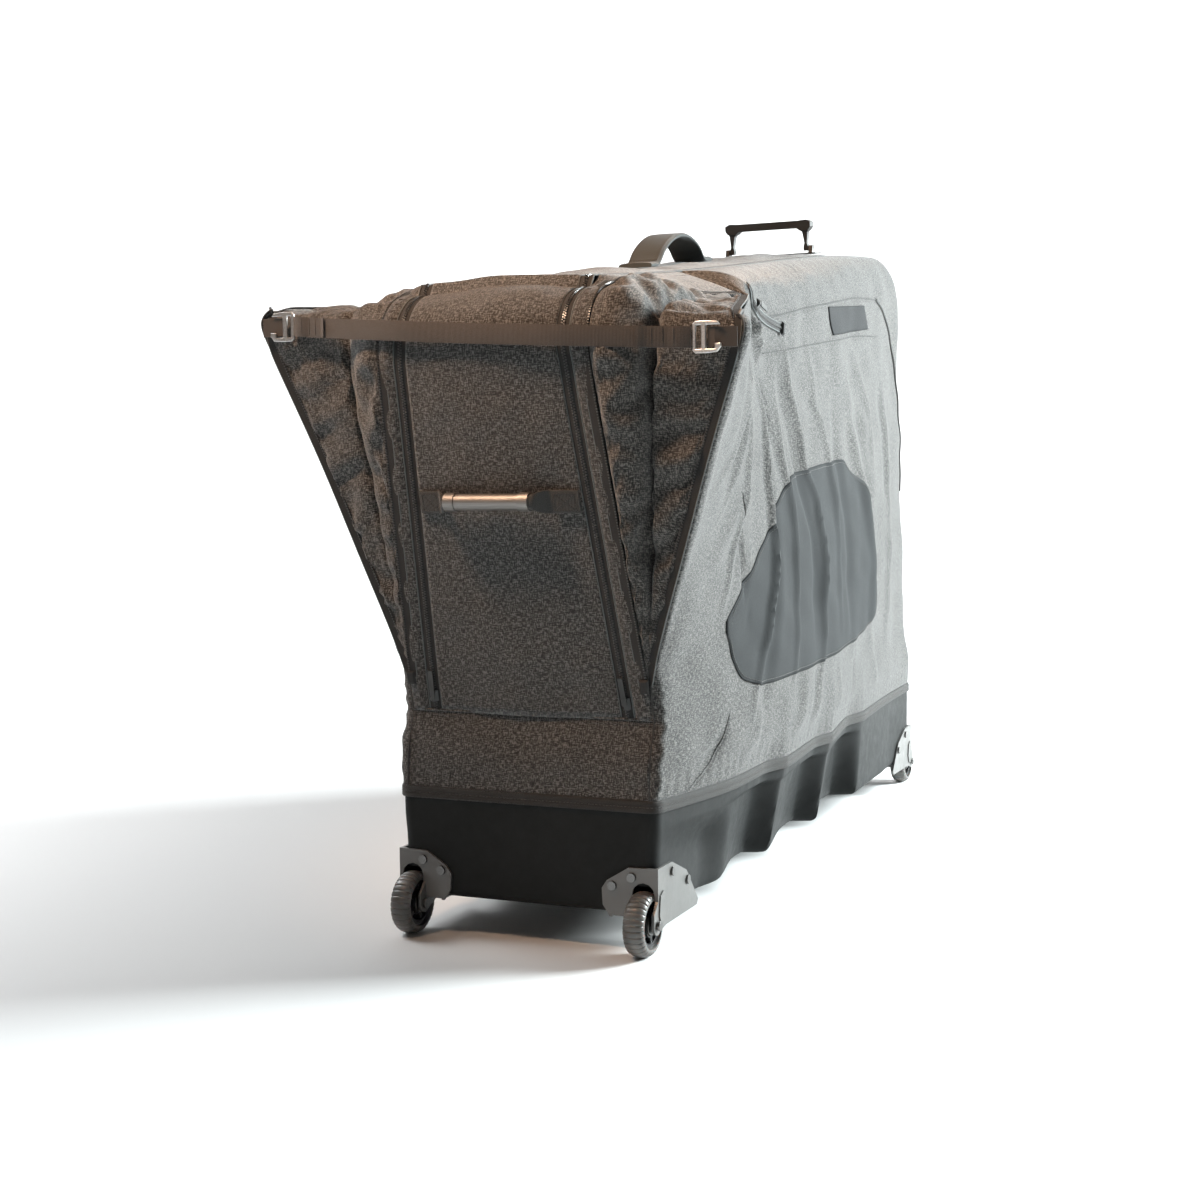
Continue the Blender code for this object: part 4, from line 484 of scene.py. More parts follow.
def row_of(name, material, line, out, pitch, size, lift=0.0, start=0.5):
    """A piece of small blocks set along a line at a pitch, each a box that narrows to its top.
    size is the length along the line, the width across it and the height out of it."""
    walked = walk(line)
    places = np.arange(pitch * start, walked[-1], pitch)
    run = unit(between(places, walked, np.gradient(line, axis=0)))
    normal = unit(between(places, walked, out))
    across = unit(np.cross(run, normal))
    ring = np.array(((-1.0, -1.0), (1.0, -1.0), (1.0, 1.0), (-1.0, 1.0)))
    foot = np.column_stack([ring * 0.5, np.zeros(4)])
    top = np.column_stack([ring * (0.35, 0.3), np.ones(4)])
    corners = np.concatenate([foot, top]) * size
    middle = between(places, walked, line) + normal * lift
    verts = (middle[:, None] + run[:, None] * corners[None, :, 0:1]
             + across[:, None] * corners[None, :, 1:2] + normal[:, None] * corners[None, :, 2:3])
    quads = np.array([(3, 2, 1, 0), (4, 5, 6, 7), (0, 1, 5, 4), (1, 2, 6, 5), (2, 3, 7, 6),
                      (3, 0, 4, 7)])
    faces = (np.arange(len(places))[:, None, None] * 8 + quads[None]).reshape(-1, 4)
    mesh = bpy.data.meshes.new(name)
    mesh.from_pydata(verts.reshape(-1, 3).tolist(), [], faces.tolist())
    with edited(mesh) as work:
        bmesh.ops.recalc_face_normals(work, faces=work.faces)
    return place(name, mesh, material)


BINDING = np.array(((-3.4, 164.3), (-3.4, 166), (-2.2, 167.2), (0.6, 167.2), (2.2, 166.4),
                    (3, 164.8), (3.1, 161), (2.6, 159.6), (3.1, 158.2), (3.1, 154.8), (2.4, 153.3),
                    (0.3, 153.1), (0.3, 164.3))) / 1000.0
STITCH_PITCH = 0.0042
binding_brown = woven("binding_brown", (0.007, 0.006, 0.005), (0.021, 0.018, 0.016), 0.0012)
binding = surface("rim_binding_tape", along_rim(BINDING), round_about=True, loop=True)
fixed(place("rim_binding_tape", binding, binding_brown), "base", "binding", "rim_binding")
thread_dark = finish("thread_dark", (0.035, 0.030, 0.027), 0.7, Sheen_Weight=0.2)
seam_line = along_rim([(0.0027, 0.1596)])[:, 0]
seam_line = np.concatenate([seam_line, seam_line[:1]])
seam_out = unit(np.cross(np.gradient(seam_line, axis=0), (0.0, 0.0, -1.0)))
seam_out *= np.sign((seam_out * seam_line).sum(axis=1, keepdims=True))
fixed(row_of("rim_binding_stitches", thread_dark, seam_line, seam_out, STITCH_PITCH,
             (0.0032, 0.0007, 0.0006)), "base", "binding")


# Corner brackets
# Bent plates of painted aluminium that clasp the tub's corners and carry the axles, with dome bolts
# into a plate inside. Their edges are rounded by a small bevel.
def painted(name, dark, light, roughness, metallic):
    """Satin paint with a fine orange-peel bump and slow changes of tone."""
    return moulded(name, dark, light, roughness, 1500.0, 0.0001, Metallic=metallic)


def brushed(name, colour, roughness, scale):
    """Bare metal with fine lines, which are noise stretched on the piece's own axes."""
    material = finish(name, colour, roughness, Metallic=1.0)
    add, feed = wires(material)
    stretched = add("Mapping", "Vector", Vector=add("TexCoord", "Object"), Scale=scale)
    lines = add("TexNoise", "Fac", Vector=stretched, Scale=1.0, Detail=3.0)
    darker = tuple(0.72 * c for c in colour)
    feed("Base Color", ramp(add, lines, ((0.3, darker), (0.7, colour))))
    bumpy(material, lines, 0.00005, 0.5)
    return material


def refined(node, material, body, slot, width, segments=2):
    """A CAD node's shape, merged, with its flat faces joined and its sharp edges bevelled."""
    mesh = nodes[node].data.copy()
    with edited(mesh) as work:
        bmesh.ops.remove_doubles(work, verts=work.verts, dist=1e-6)
        bmesh.ops.dissolve_limit(work, angle_limit=math.radians(1.0), verts=work.verts,
                                 edges=work.edges)
    mesh.shade_smooth()
    mesh.set_sharp_from_angle(angle=math.radians(30.0))
    obj = place(node + "_piece", mesh, material)
    bevel = obj.modifiers.new("worn edges", "BEVEL")
    bevel.width = width
    bevel.segments = segments
    bevel.limit_method = "ANGLE"
    bevel.angle_limit = math.radians(30.0)
    bevel.harden_normals = True
    fixed(obj, body, slot, node)


bracket_grey = painted("bracket_grey", (0.115, 0.113, 0.109), (0.165, 0.162, 0.157), 0.36, 0.30)
bolt_steel = brushed("bolt_steel", (0.20, 0.195, 0.19), 0.32, (900.0, 900.0, 900.0))
CORNERS = ("_near_right", "_near_left", "_far_right", "_far_left")
for corner_name in CORNERS:
    refined("corner_bracket" + corner_name, bracket_grey, "base", "bracket", 0.0007)
    refined("bolt_plate" + corner_name, bolt_steel, "base", "steel", 0.0006)
    refined("axle_bolt" + corner_name, bolt_steel, "base", "steel", 0.0006)


# Wheels
# Smoky cast urethane tyres with shallow grooves across them, on black spoked cores with sealed
# bearings, as on inline skates.
def lathe(centre, profile, turns, ribs, depth, mask):
    """A closed profile of (x, radius) points turned about the X axis through a centre, with
    grooves of a depth across it where the mask is 1: cos(ribs angle)^4 where that is positive."""
    angle = (np.arange(turns) * 2.0 * math.pi / turns)[:, None]
    dent = depth * clamp(np.cos(ribs * angle)) ** 4 * mask[None, :]
    x = profile[None, :, 0] * (1.0 - dent / WHEEL_HALF)
    radius = profile[None, :, 1] - dent
    return np.stack([centre[0] + x, centre[1] + radius * np.cos(angle),
                     centre[2] + radius * np.sin(angle)], axis=-1)


WHEEL_RADIUS, WHEEL_HALF, WHEEL_X, WHEEL_S, RIM_RADIUS = 0.035, 0.012, 0.1395, -0.005, 0.025
crown = np.linspace(-0.5, 0.5, 25) * math.pi
tyre_rise = (WHEEL_RADIUS - RIM_RADIUS - 0.001) * np.cos(crown) ** 0.7
tyre_profile = np.stack([WHEEL_HALF * np.sin(crown), RIM_RADIUS + 0.001 + tyre_rise], axis=1)
tyre_profile = np.concatenate([[(-0.62 * WHEEL_HALF, RIM_RADIUS + 0.0003)], tyre_profile,
                               [(0.62 * WHEEL_HALF, RIM_RADIUS + 0.0003)]])
tread = np.ones(len(tyre_profile))
tread[[0, 1, 2, -3, -2, -1]] = 0.0
urethane = finish("smoky_urethane", (0.12, 0.115, 0.11), 0.36, Transmission_Weight=0.20, IOR=1.48,
                  Subsurface_Weight=0.15, Subsurface_Scale=0.004)
mottled(urethane, 35.0, 4.0, (0.3, (0.085, 0.082, 0.078)), (0.7, (0.19, 0.18, 0.17)))
bumpy(urethane, noise_on_axes(wires(urethane)[0], 700.0, 2.0), 0.0001, 0.4)
core_black = moulded("core_black", (0.010, 0.010, 0.011), (0.018, 0.018, 0.019), 0.38)
for corner_name in CORNERS:
    wheel_x = WHEEL_X if "right" in corner_name else -WHEEL_X
    wheel_s = WHEEL_S if "near" in corner_name else TUB_LENGTH - WHEEL_S
    grid = lathe((wheel_x, NEAR_Y + wheel_s, WHEEL_RADIUS), tyre_profile, 256, 32, 0.0007, tread)
    tyre = place("wheel_tyre" + corner_name + "_piece",
                 surface("tyre", grid, round_about=True, loop=True), urethane)
    fixed(tyre, "wheel" + corner_name, "urethane", "wheel_tyre" + corner_name)
    refined("wheel_core" + corner_name, core_black, "wheel" + corner_name, "core", 0.0006)
    refined("wheel_bearing" + corner_name, bolt_steel, "wheel" + corner_name, "steel", 0.0004)


# Padded cloth sides
# Heather-grey polyester over foam. Each side is one shell from the rim to the zips, with a wing at
# the handlebar end that stands out over the gusset. It is sewn in at the rim; on the real case the
# part above the fold line swings out with the side, but here the shell is not bent and rides on no
# body.
SIDES = ((1, "right"), (-1, "left"))
FOLD_Z, FOLD_X = 0.250, 0.200
NEAR_LEAN, NEAR_SEAM_S, FAR_S = math.radians(15.7), 0.016, 1.126
ROOF_START, ROOF_END, ROOF_NEAR_Z, ROOF_FAR_Z = -0.090, 1.020, 0.711, 0.848
NEAR_TOP_RADIUS, FAR_TOP_RADIUS, ROOF_CROWN = 0.060, 0.075, 0.005
ZIP_WIDTH, ZIP_EDGE_GAP = 0.014, 0.0011
FOOT_Z, GUSSET_END_S, WING_END_Z, GUSSET_SEAM = 0.305, 0.194, 0.712, 0.016
WING_TOP_Z = {1: 0.668, -1: 0.696}
CLOTH_LOW = 0.1655
SEAM_X = 0.1455
WING_ROUND, TIP_ROUND, WING_RISE, WING_LOW_Z = 0.030, 0.014, 0.355, 0.285
BELLY, FLARE, CORNER_POWER = 0.040, 0.127, 2.2
PANEL_LOW, CASE_MIDDLE = FOLD_Z + 0.0003, (0.0, 0.0, 0.45)


def roof_z(s):
    """Height of the roof's middle line: a straight rise plus a gentle S."""
    t = (np.asarray(s, float) - ROOF_START) / (ROOF_END - ROOF_START)
    return ROOF_NEAR_Z + (ROOF_FAR_Z - ROOF_NEAR_Z) * (0.7 * t + 0.3 * smooth(t))


def lean_s(z):
    """Where the near face stands at a height: it leans out towards the top."""
    return NEAR_SEAM_S - math.tan(NEAR_LEAN) * (z - FOLD_Z)


def band_s(z):
    """Where the cloth's near face stands below the fold line: it leans in, with a little
    fullness, sin^2, between the seams."""
    t = clamp((z - CLOTH_LOW) / (FOLD_Z - CLOTH_LOW))
    return -0.001 + 0.017 * t - 0.005 * np.sin(math.pi * t) ** 2


def main_zip_x(s, z):
    """Half distance between the main zips on the near face, the roof and the far face."""
    near = 0.117 - 0.024 * (z - FOLD_Z) / 0.40
    roof = 0.093 + 0.010 * np.sin(math.pi * clamp((s + 0.04) / 1.10))
    far = 0.093 + 0.013 * smooth((0.78 - z) / 0.5)
    behind = np.where((s > FAR_S - 0.06) & (z < 0.80), far, roof)
    return np.where((s < 0.03) & (z < 0.65), near, behind)


def zip_edge(zip_x):
    """How far out the cloth beside a main zip starts."""
    return zip_x + ZIP_WIDTH / 2.0 + ZIP_EDGE_GAP


def edge_s(z):
    """Where the wing's front edge stands along the case at a height."""
    t = (z - FOOT_Z) / WING_RISE
    return np.where(t < 0.0, 0.004 + (FOOT_Z - z) * 0.2, 0.004 - 0.062 * t)


def cloth_start_s(z):
    """The near end of the side's cloth: the band's face below the fold line, the wing's edge
    above."""
    return np.where(z < FOLD_Z, band_s(z), edge_s(z))


def round_share(z, side):
    """How far up the rounding of the wing's tip a height is, from 0 to 1."""
    return clamp((z - WING_TOP_Z[side] + WING_ROUND) / WING_ROUND)


def tip_x(z, side, near):
    """How far the wing's edge stands out more than the solid's near its tip, less its rounding:
    near is 1 at the front edge and fades to 0 along the wing's top."""
    wider = (0.004 if side < 0 else 0.001) * smooth((z - 0.50) / 0.16)
    return near * (wider - TIP_ROUND * (1.0 - np.sqrt(1.0 - round_share(z, side) ** 2)))


def tip_s(z, side):
    """How far the wing's front edge draws back near its top, which rounds the tip."""
    return 0.010 * round_share(z, side) ** 2.4


def hem_size(z):
    """How deep along s, and how wide across, the cloth rolls over at its near edge: a small
    corner seam below the gusset's foot, and a soft padded roll on the wing."""
    wing = smooth((z - WING_LOW_Z) / 0.060)
    return 0.009 + 0.001 * wing, 0.0045 * wing


def wall_half(s, z):
    """Half width of the cloth wall: from the tub's rim to the fold line, then the belly that
    thins out upwards, with the wing's flare, (1 - distance / 0.4)^1.5, near the end."""
    belly = (BELLY - 0.018 * smooth((z - FOLD_Z) / 0.30)) * hump(s)
    waist = 0.008 * smooth((z - 0.40) / 0.25)
    rise = np.clip((z - FOOT_Z) / WING_RISE, 0.0, 1.1)
    fade = clamp(1.0 - (s - edge_s(z) - 0.012) / 0.388) ** 1.5
    upper = TUB_HALF + belly - waist + (FLARE + waist) * rise * fade
    t = clamp((z - CLOTH_LOW) / (FOLD_Z - CLOTH_LOW))
    rim = tub_half(s, RIM_Z) + 0.0008
    fold = TUB_HALF + BELLY * hump(s)
    lower = rim + (fold - rim) * t ** 0.8 + 0.003 * np.sin(math.pi * t) ** 2
    return np.where(z < FOLD_Z, lower, upper)


def shoulder(s):
    """Height of the rounded shoulder: squarer where the gusset ends."""
    return 0.030 + 0.036 * smooth((np.asarray(s, float) - GUSSET_END_S) / 0.30)


def far_radius(z):
    """Radius of the far corner: as the tub's at the rim, as the shoulder's higher up."""
    return 0.014 + 0.052 * smooth((z - CLOTH_LOW) / 0.165)


def far_limit(z):
    """Where the far face stands at a height."""
    return 1.131 - 0.005 * smooth((z - CLOTH_LOW) / 0.09)


def far_inner(z, zips):
    """Half width at the far face: wide at the rim, and the zips' own from 85 mm above it."""
    return zips + (0.139 - zips) * (1.0 - smooth((z - CLOTH_LOW) / 0.085))


def side_half(s, z):
    """Half width of the whole side: a superellipse of CORNER_POWER from the wall to the zips over
    the shoulder's height, measured from the rounded outline of the side view."""
    corner = FAR_S - FAR_TOP_RADIUS
    from_top = roof_z(np.minimum(s, corner)) - z
    ds, dz = s - corner, z - (roof_z(corner) - FAR_TOP_RADIUS)
    rounded = FAR_TOP_RADIUS - np.hypot(np.maximum(ds, 0.0), np.maximum(dz, 0.0))
    distance = np.where((ds > 0.0) & (dz > 0.0), rounded, np.minimum(FAR_S - s, from_top))
    depth = np.where(z < 0.5, (far_limit(z) - s) / far_radius(z), distance / shoulder(s))
    depth = clamp(depth)
    inner = far_inner(z, zip_edge(main_zip_x(s, z)))
    wall = wall_half(s, z)
    return inner + (wall - inner) * (1.0 - (1.0 - depth) ** CORNER_POWER) ** (1.0 / CORNER_POWER)


def top_z(s):
    """Top of the cloth in side view: the roof, rounded down into the far face."""
    corner = FAR_S - FAR_TOP_RADIUS
    past = np.clip(s - corner, 0.0, FAR_TOP_RADIUS)
    drop = np.sqrt(np.maximum(FAR_TOP_RADIUS ** 2 - past ** 2, 0.0))
    return np.where(s > corner, roof_z(corner) - FAR_TOP_RADIUS + drop, roof_z(s))


CORNER_COLUMNS, FRONT_COLUMNS, MIDDLE_COLUMNS, FAR_COLUMNS = 9, 60, 210, 14
LOW_ROWS, TOP_ROWS = 104, 24


def side_grid(side):
    """The side's points, row by row from the rim up. Columns: a quarter turn from the corner
    seam, the wing, the long wall, and a quarter turn round the far corner."""
    shares = np.linspace(0.0, 1.0, LOW_ROWS)[:, None]
    ease = quarter_turn(TOP_ROWS + 1)[1:, None]
    # The wing and the corner in front of it: the top rises from the wing's tip to its end.
    tip_z, hem = WING_TOP_Z[side], slice(0, CORNER_COLUMNS - 1)
    fraction = np.linspace(0.0, 1.0, FRONT_COLUMNS)[None, :]
    turn = quarter_turn(CORNER_COLUMNS)[None, :-1]
    z_top = np.concatenate([np.full(turn.shape, tip_z), tip_z + (WING_END_Z - tip_z) * fraction],
                           axis=1)
    z = np.concatenate([CLOTH_LOW + (z_top - WING_ROUND - CLOTH_LOW) * shares,
                        z_top - WING_ROUND + WING_ROUND * np.sin(ease)])
    reach, roll = hem_size(z)
    start = cloth_start_s(z) + tip_s(z, side)
    s = start + reach + (GUSSET_END_S - start - reach) * np.concatenate(
        [np.zeros(turn.shape), fraction], axis=1)
    near_tip = np.concatenate([np.ones(turn.shape), (1.0 - fraction) ** 2], axis=1)
    level = np.concatenate([z[:LOW_ROWS, :1], tip_z - WING_ROUND + WING_ROUND * np.sin(ease)])
    x = wall_half(s, z) + tip_x(level, side, near_tip)
    wing = smooth((z - WING_LOW_Z) / 0.035)
    deep = (x - SEAM_X) * (1.0 - wing) + roll * wing
    x[:, hem] -= deep[:, hem] * (1.0 - np.sin(turn))
    s[:, hem] -= reach[:, hem] * np.cos(turn)
    front = np.stack([x, NEAR_Y + s, z], axis=-1)
    # The wall behind, which reaches the zips on the roof and on the far face.
    share = np.concatenate([np.linspace(0.0, 1.0, MIDDLE_COLUMNS)[:-1] ** 1.25,
                            np.ones(FAR_COLUMNS)])
    turned = np.concatenate([np.zeros(MIDDLE_COLUMNS - 1),
                             quarter_turn(FAR_COLUMNS)])
    first = GUSSET_END_S + GUSSET_SEAM

    def columns_s(z):
        bend = far_limit(z) - far_radius(z)
        return first + (bend - first) * share + far_radius(z) * np.sin(turned)

    flat_s = columns_s(np.full(len(share), 0.5))
    z_top, height = top_z(flat_s)[None, :], shoulder(flat_s)[None, :]
    z = np.concatenate([CLOTH_LOW + (z_top - height - CLOTH_LOW) * shares,
                        z_top - height * (1.0 - np.sin(ease))])
    s = columns_s(z)
    back = np.stack([side_half(s, z), NEAR_Y + s, z], axis=-1)
    return np.concatenate([front, back], axis=1) * (side, 1.0, 1.0)


def normals_of(grid, side):
    """Outward directions of a grid on the case's right (1) or left (-1) half."""
    across = np.cross(np.gradient(grid, axis=0), np.gradient(grid, axis=1))
    size = np.linalg.norm(across, axis=-1, keepdims=True)
    across = across / np.maximum(size, 1e-12)
    return across * np.where((across[..., :1] * side).mean() < 0.0, -1.0, 1.0)


def near_line(s, z, points):
    """Distance to a line of (s, z) points, and the share of its length at the nearest place."""
    points = np.asarray(points, float)
    lengths = np.linalg.norm(np.diff(points, axis=0), axis=1)
    best, share = np.full(s.shape, 9.0), np.zeros(s.shape)
    walked = 0.0
    for first, run, length in zip(points[:-1], np.diff(points, axis=0), lengths):
        t = ((s - first[0]) * run[0] + (z - first[1]) * run[1]) / length ** 2
        t = clamp(t)
        d = np.hypot(s - first[0] - t * run[0], z - first[1] - t * run[1])
        share = np.where(d < best, (walked + t * length) / lengths.sum(), share)
        best = np.minimum(best, d)
        walked += length
    return best, share


def folds(s, z, lines):
    """Sum of ridges: height x exp(-(distance / width)^2) x sin(pi share)^0.7 for each line."""
    total = np.zeros(s.shape)
    for height, width, points in lines:
        distance, share = near_line(s, z, points)
        fade = np.sin(math.pi * np.clip(share, 0.02, 0.98)) ** 0.7
        total += height * np.exp(-(distance / width) ** 2) * fade
    return total


def billow(s, z, size, seed):
    """Slow waves: a sum of sines of (s, z) in fixed directions with wavelengths near a size."""
    total = np.zeros(np.broadcast(s, z).shape)
    for k in range(7):
        angle = 0.9 * k + seed
        wave = size * (0.7 + 0.13 * k)
        along = (s * math.cos(angle) + z * math.sin(angle)) * 2.0 * math.pi / wave
        total += np.sin(along + 1.7 * k + 5.0 * seed)
    return total / 4.0


def puckers(along, height, pitch, stray, slow):
    """Gathers beside a row of stitches: a sine along it at a pitch, which strays by a slow sine
    so that the gathers aren't even."""
    return height * np.sin(2.0 * math.pi * along / pitch + stray * np.sin(along * slow))


def heather(name, dark, middle, light, roughness=0.92, sheen=0.25, fleck=1.0, bump=0.0006,
            **sockets):
    """Melange polyester cloth on its UV map in metres: warp and weft yarns are noise stretched
    along u and along v, flecked dark and light, over a fine plain weave of crossed waves."""
    material = finish(name, middle, roughness, Sheen_Weight=sheen, Sheen_Roughness=0.5, **sockets)
    add, feed = wires(material)

    def maths(operation, *values):
        return add("Math", "Value", enumerate(values), operation=operation)

    uv = add("UVMap", "UV", uv_map="cloth")
    yarns, waves = [], []
    for direction, scale in (("X", (190.0, 800.0)), ("Y", (800.0, 190.0))):
        stretched = add("Mapping", "Vector", Vector=uv,
                        Scale=(scale[0] / fleck, scale[1] / fleck, 1.0))
        yarns.append(add("TexNoise", "Fac", Vector=stretched, Scale=1.0, Detail=2.0,
                         Roughness=0.6))
        waves.append(add("TexWave", "Fac", wave_type="BANDS", bands_direction=direction,
                         wave_profile="SIN", Vector=uv, Scale=240.0))
    both = maths("ADD", *yarns)
    tone = ramp(add, maths("MULTIPLY", both, 0.5), ((0.43, dark), (0.50, middle), (0.575, light)))
    shade = ramp(add, noise_on_axes(add, 7.0, 3.0),
                 ((0.3, (0.90, 0.90, 0.90)), (0.7, (1.04, 1.04, 1.04))))
    feed("Base Color", add("Mix", 2, ((0, 1.0), (6, tone), (7, shade)), data_type="RGBA",
                           blend_type="MULTIPLY"))
    bumpy(material, maths("ADD", maths("MULTIPLY", *waves), both), bump, 0.55)
    return material


def thicken(obj, name, thickness):
    """Gives a sheet its thickness, inwards."""
    solid = obj.modifiers.new(name, "SOLIDIFY")
    solid.thickness = thickness
    solid.offset = -1.0


def sheet(name, grid, material, inside=CASE_MIDDLE):
    """A sheet of cloth whose outer surface is a grid and faces away from the case's middle."""
    return place(name, surface(name, grid, inside=inside), material)


def padded_cloth(name, grid, thickness=0.003):
    """A sheet of the grey cloth over foam."""
    obj = sheet(name, grid, cloth_grey)
    thicken(obj, "foam", thickness)
    return obj


def swing(obj, side_name, slot, *replaced):
    """Bakes a piece's placement into its mesh and hides the CAD nodes that it replaces; the piece
    is not bent. side_name and slot, whose finish it takes, are not used."""
    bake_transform(obj)
    if replaced:
        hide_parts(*replaced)


# Each fold's height and width, and the (s, z) places that it runs through, in millimetres.
FOLDS_MM = (
    (3.5, 16, ((215, 560), (160, 475), (60, 400))),
    (4.5, 20, ((150, 650), (120, 590), (20, 530))),
    (-4, 10, ((285, 640), (330, 590), (375, 520))),
    (9, 7.5, ((262, 650), (290, 612), (306, 580), (302, 520), (304, 478), (294, 408), (262, 316),
                (215, 225))),
    (-7, 14, ((300, 640), (330, 580), (328, 500), (320, 410), (290, 310), (245, 220))),
    (7.5, 8, ((406, 681), (423, 618), (463, 563), (485, 511), (513, 476), (527, 397), (507, 293),
                (470, 200))),
    (-6, 14, ((380, 660), (400, 600), (435, 550), (458, 490), (485, 440), (495, 380), (475, 280))),
    (6, 8, ((370, 610), (385, 540), (400, 460), (395, 360), (365, 240))),
    (6, 11, ((513, 688), (546, 611), (600, 541), (625, 440), (610, 300))),
    (-4.5, 16, ((640, 640), (665, 540), (690, 420), (670, 260))),
    (8, 16, ((720, 640), (759, 568), (811, 470), (835, 382), (824, 265))),
    (-6, 18, ((770, 640), (820, 560), (870, 460), (880, 340))),
    (5.5, 12, ((747, 694), (810, 651), (864, 610), (895, 514))),
    (5.5, 14, ((960, 660), (985, 520), (975, 380), (940, 230))),
    (7, 6.5, ((246, 634), (187, 608), (128, 566), (74, 527), (25, 495))),
    (-6, 8.5, ((230, 612), (175, 586), (118, 545), (70, 508))),
    (6, 6.5, ((236, 612), (166, 562), (117, 512), (75, 462))),
    (5, 8, ((232, 600), (185, 520), (150, 430), (130, 350))),
    (8.5, 6.5, ((206, 692), (226, 682), (240, 666))),
    (8.5, 6.5, ((220, 684), (244, 672), (262, 654))),
    (8.5, 6.5, ((232, 670), (258, 657), (276, 640))),
    (-12, 9, ((190, 694), (204, 682), (216, 664))),
    (-4.5, 6, ((158, 480), (185, 410), (212, 335))),
    (-3.5, 7, ((155, 238), (120, 205), (64, 172))),
    (4, 14, ((250, 245), (230, 205), (190, 178))),
    (4.5, 13, ((420, 255), (395, 215), (350, 178))),
    (-4, 10, ((470, 262), (455, 220), (430, 180))),
    (4, 14, ((600, 262), (590, 220), (560, 178))),
    (-3, 10, ((700, 270), (700, 220), (680, 180))),
    (3, 16, ((830, 280), (850, 230), (850, 180))),
    (-3.5, 12, ((430, 640), (520, 600), (640, 590))),
    (3.5, 18, ((620, 660), (760, 610), (900, 560))),
    (-3, 12, ((930, 660), (970, 540), (975, 400))))
SIDE_FOLDS = [[np.array(part) / 1000.0 for part in fold] for fold in FOLDS_MM]


def side_surface(side):
    """The side's grid with its folds, slow billows and the puckers along its seams, all moved
    along the surface's own normals, and fading out at the zips, the rim and the hem."""
    grid = side_grid(side)
    s, z = grid[..., 1] - NEAR_Y, grid[..., 2]
    rows, columns = s.shape
    r, c = np.arange(rows)[:, None], np.arange(columns)[None, :]
    down, back = rows - 1.0 - r, columns - 1.0 - c
    mask = smooth(r / 8.0) * smooth(down / 10.0) * smooth((c - 4.0) / 8.0) * smooth(back / 10.0)
    wave = 0.0026 * billow(s, z, 0.19, 0.0 if side > 0 else 2.3) \
        + 0.0013 * billow(s, z, 0.07, 1.1 * side)
    at_rim = puckers(s, 0.0010, 0.021, 1.0, 37.0) * np.exp(-(z - CLOTH_LOW) / 0.016)
    at_corner = puckers(z, 0.0014, 0.023, 2.2, 47.0) \
        * np.exp(-((s - cloth_start_s(z)) / 0.024) ** 2) * smooth((c - 3.0) / 4.0) \
        * smooth((0.30 - z) / 0.03)
    at_zip = puckers(s, 0.0008, 0.026, 2.0, 23.0) * np.exp(-(down / TOP_ROWS) / 0.35)
    move = mask * (wave + folds(s, z, SIDE_FOLDS)) + at_corner * smooth(r / 3.0) \
        + (at_rim + at_zip) * smooth(r / 3.0) * smooth(down / 4.0) * smooth((c - 2.0) / 8.0)
    return grid + normals_of(grid, side) * move[..., None]


cloth_grey = heather("heather_cloth", (0.005, 0.0045, 0.004), (0.032, 0.030, 0.028),
                     (0.130, 0.125, 0.118))
side_shape = {side: side_surface(side) for side in (1, -1)}
side_out = {side: normals_of(side_shape[side], side) for side in (1, -1)}
for side, side_name in SIDES:
    swing(padded_cloth("side_cloth_" + side_name, side_shape[side]), side_name, "fabric",
          "side_panel_" + side_name)


def on_side(side, s, z, lift=0.0):
    """Points and outward directions on a side's cloth at places in side view. The grid's row and
    column are found by undoing its spacing, and the surface is mixed from the four neighbours."""
    s, z = np.broadcast_arrays(np.asarray(s, float), np.asarray(z, float))
    start = cloth_start_s(z) + tip_s(z, side) + hem_size(z)[0]
    fraction = clamp((s - start) / (GUSSET_END_S - start))
    first = GUSSET_END_S + GUSSET_SEAM
    bend = far_limit(z) - far_radius(z)
    share = clamp((s - first) / (bend - first))
    turn = np.arcsin(clamp((s - bend) / far_radius(z))) / (math.pi / 2.0)
    across = clamp((s - GUSSET_END_S) / GUSSET_SEAM)
    last = CORNER_COLUMNS - 2 + FRONT_COLUMNS
    on_wing = CORNER_COLUMNS - 1 + fraction * (FRONT_COLUMNS - 1)
    on_wall = last + 1 + share ** 0.8 * (MIDDLE_COLUMNS - 1) + turn * (FAR_COLUMNS - 1)
    column = np.where(s < GUSSET_END_S, on_wing, np.where(s > first, on_wall, last + across))
    front_top = WING_TOP_Z[side] + (WING_END_Z - WING_TOP_Z[side]) * fraction
    top = front_top + (top_z(np.maximum(s, first)) - front_top) * across
    height = WING_ROUND + (shoulder(np.maximum(s, first)) - WING_ROUND) * across
    low = (z - CLOTH_LOW) / (top - height - CLOTH_LOW) * (LOW_ROWS - 1)
    up = np.arcsin(clamp((z - top + height) / height)) / (math.pi / 2.0)
    row = np.where(z < top - height, low, LOW_ROWS - 1 + up * TOP_ROWS)
    rows, columns = side_shape[side].shape[:2]
    r0 = np.clip(np.floor(row).astype(int), 0, rows - 2)
    c0 = np.clip(np.floor(column).astype(int), 0, columns - 2)
    fr, fc = clamp(row - r0)[..., None], clamp(column - c0)[..., None]

    def mixed(values):
        near = values[r0, c0] * (1.0 - fc) + values[r0, c0 + 1] * fc
        far = values[r0 + 1, c0] * (1.0 - fc) + values[r0 + 1, c0 + 1] * fc
        return near * (1.0 - fr) + far * fr

    out = unit(mixed(side_out[side]))
    return mixed(side_shape[side]) + out * lift, out


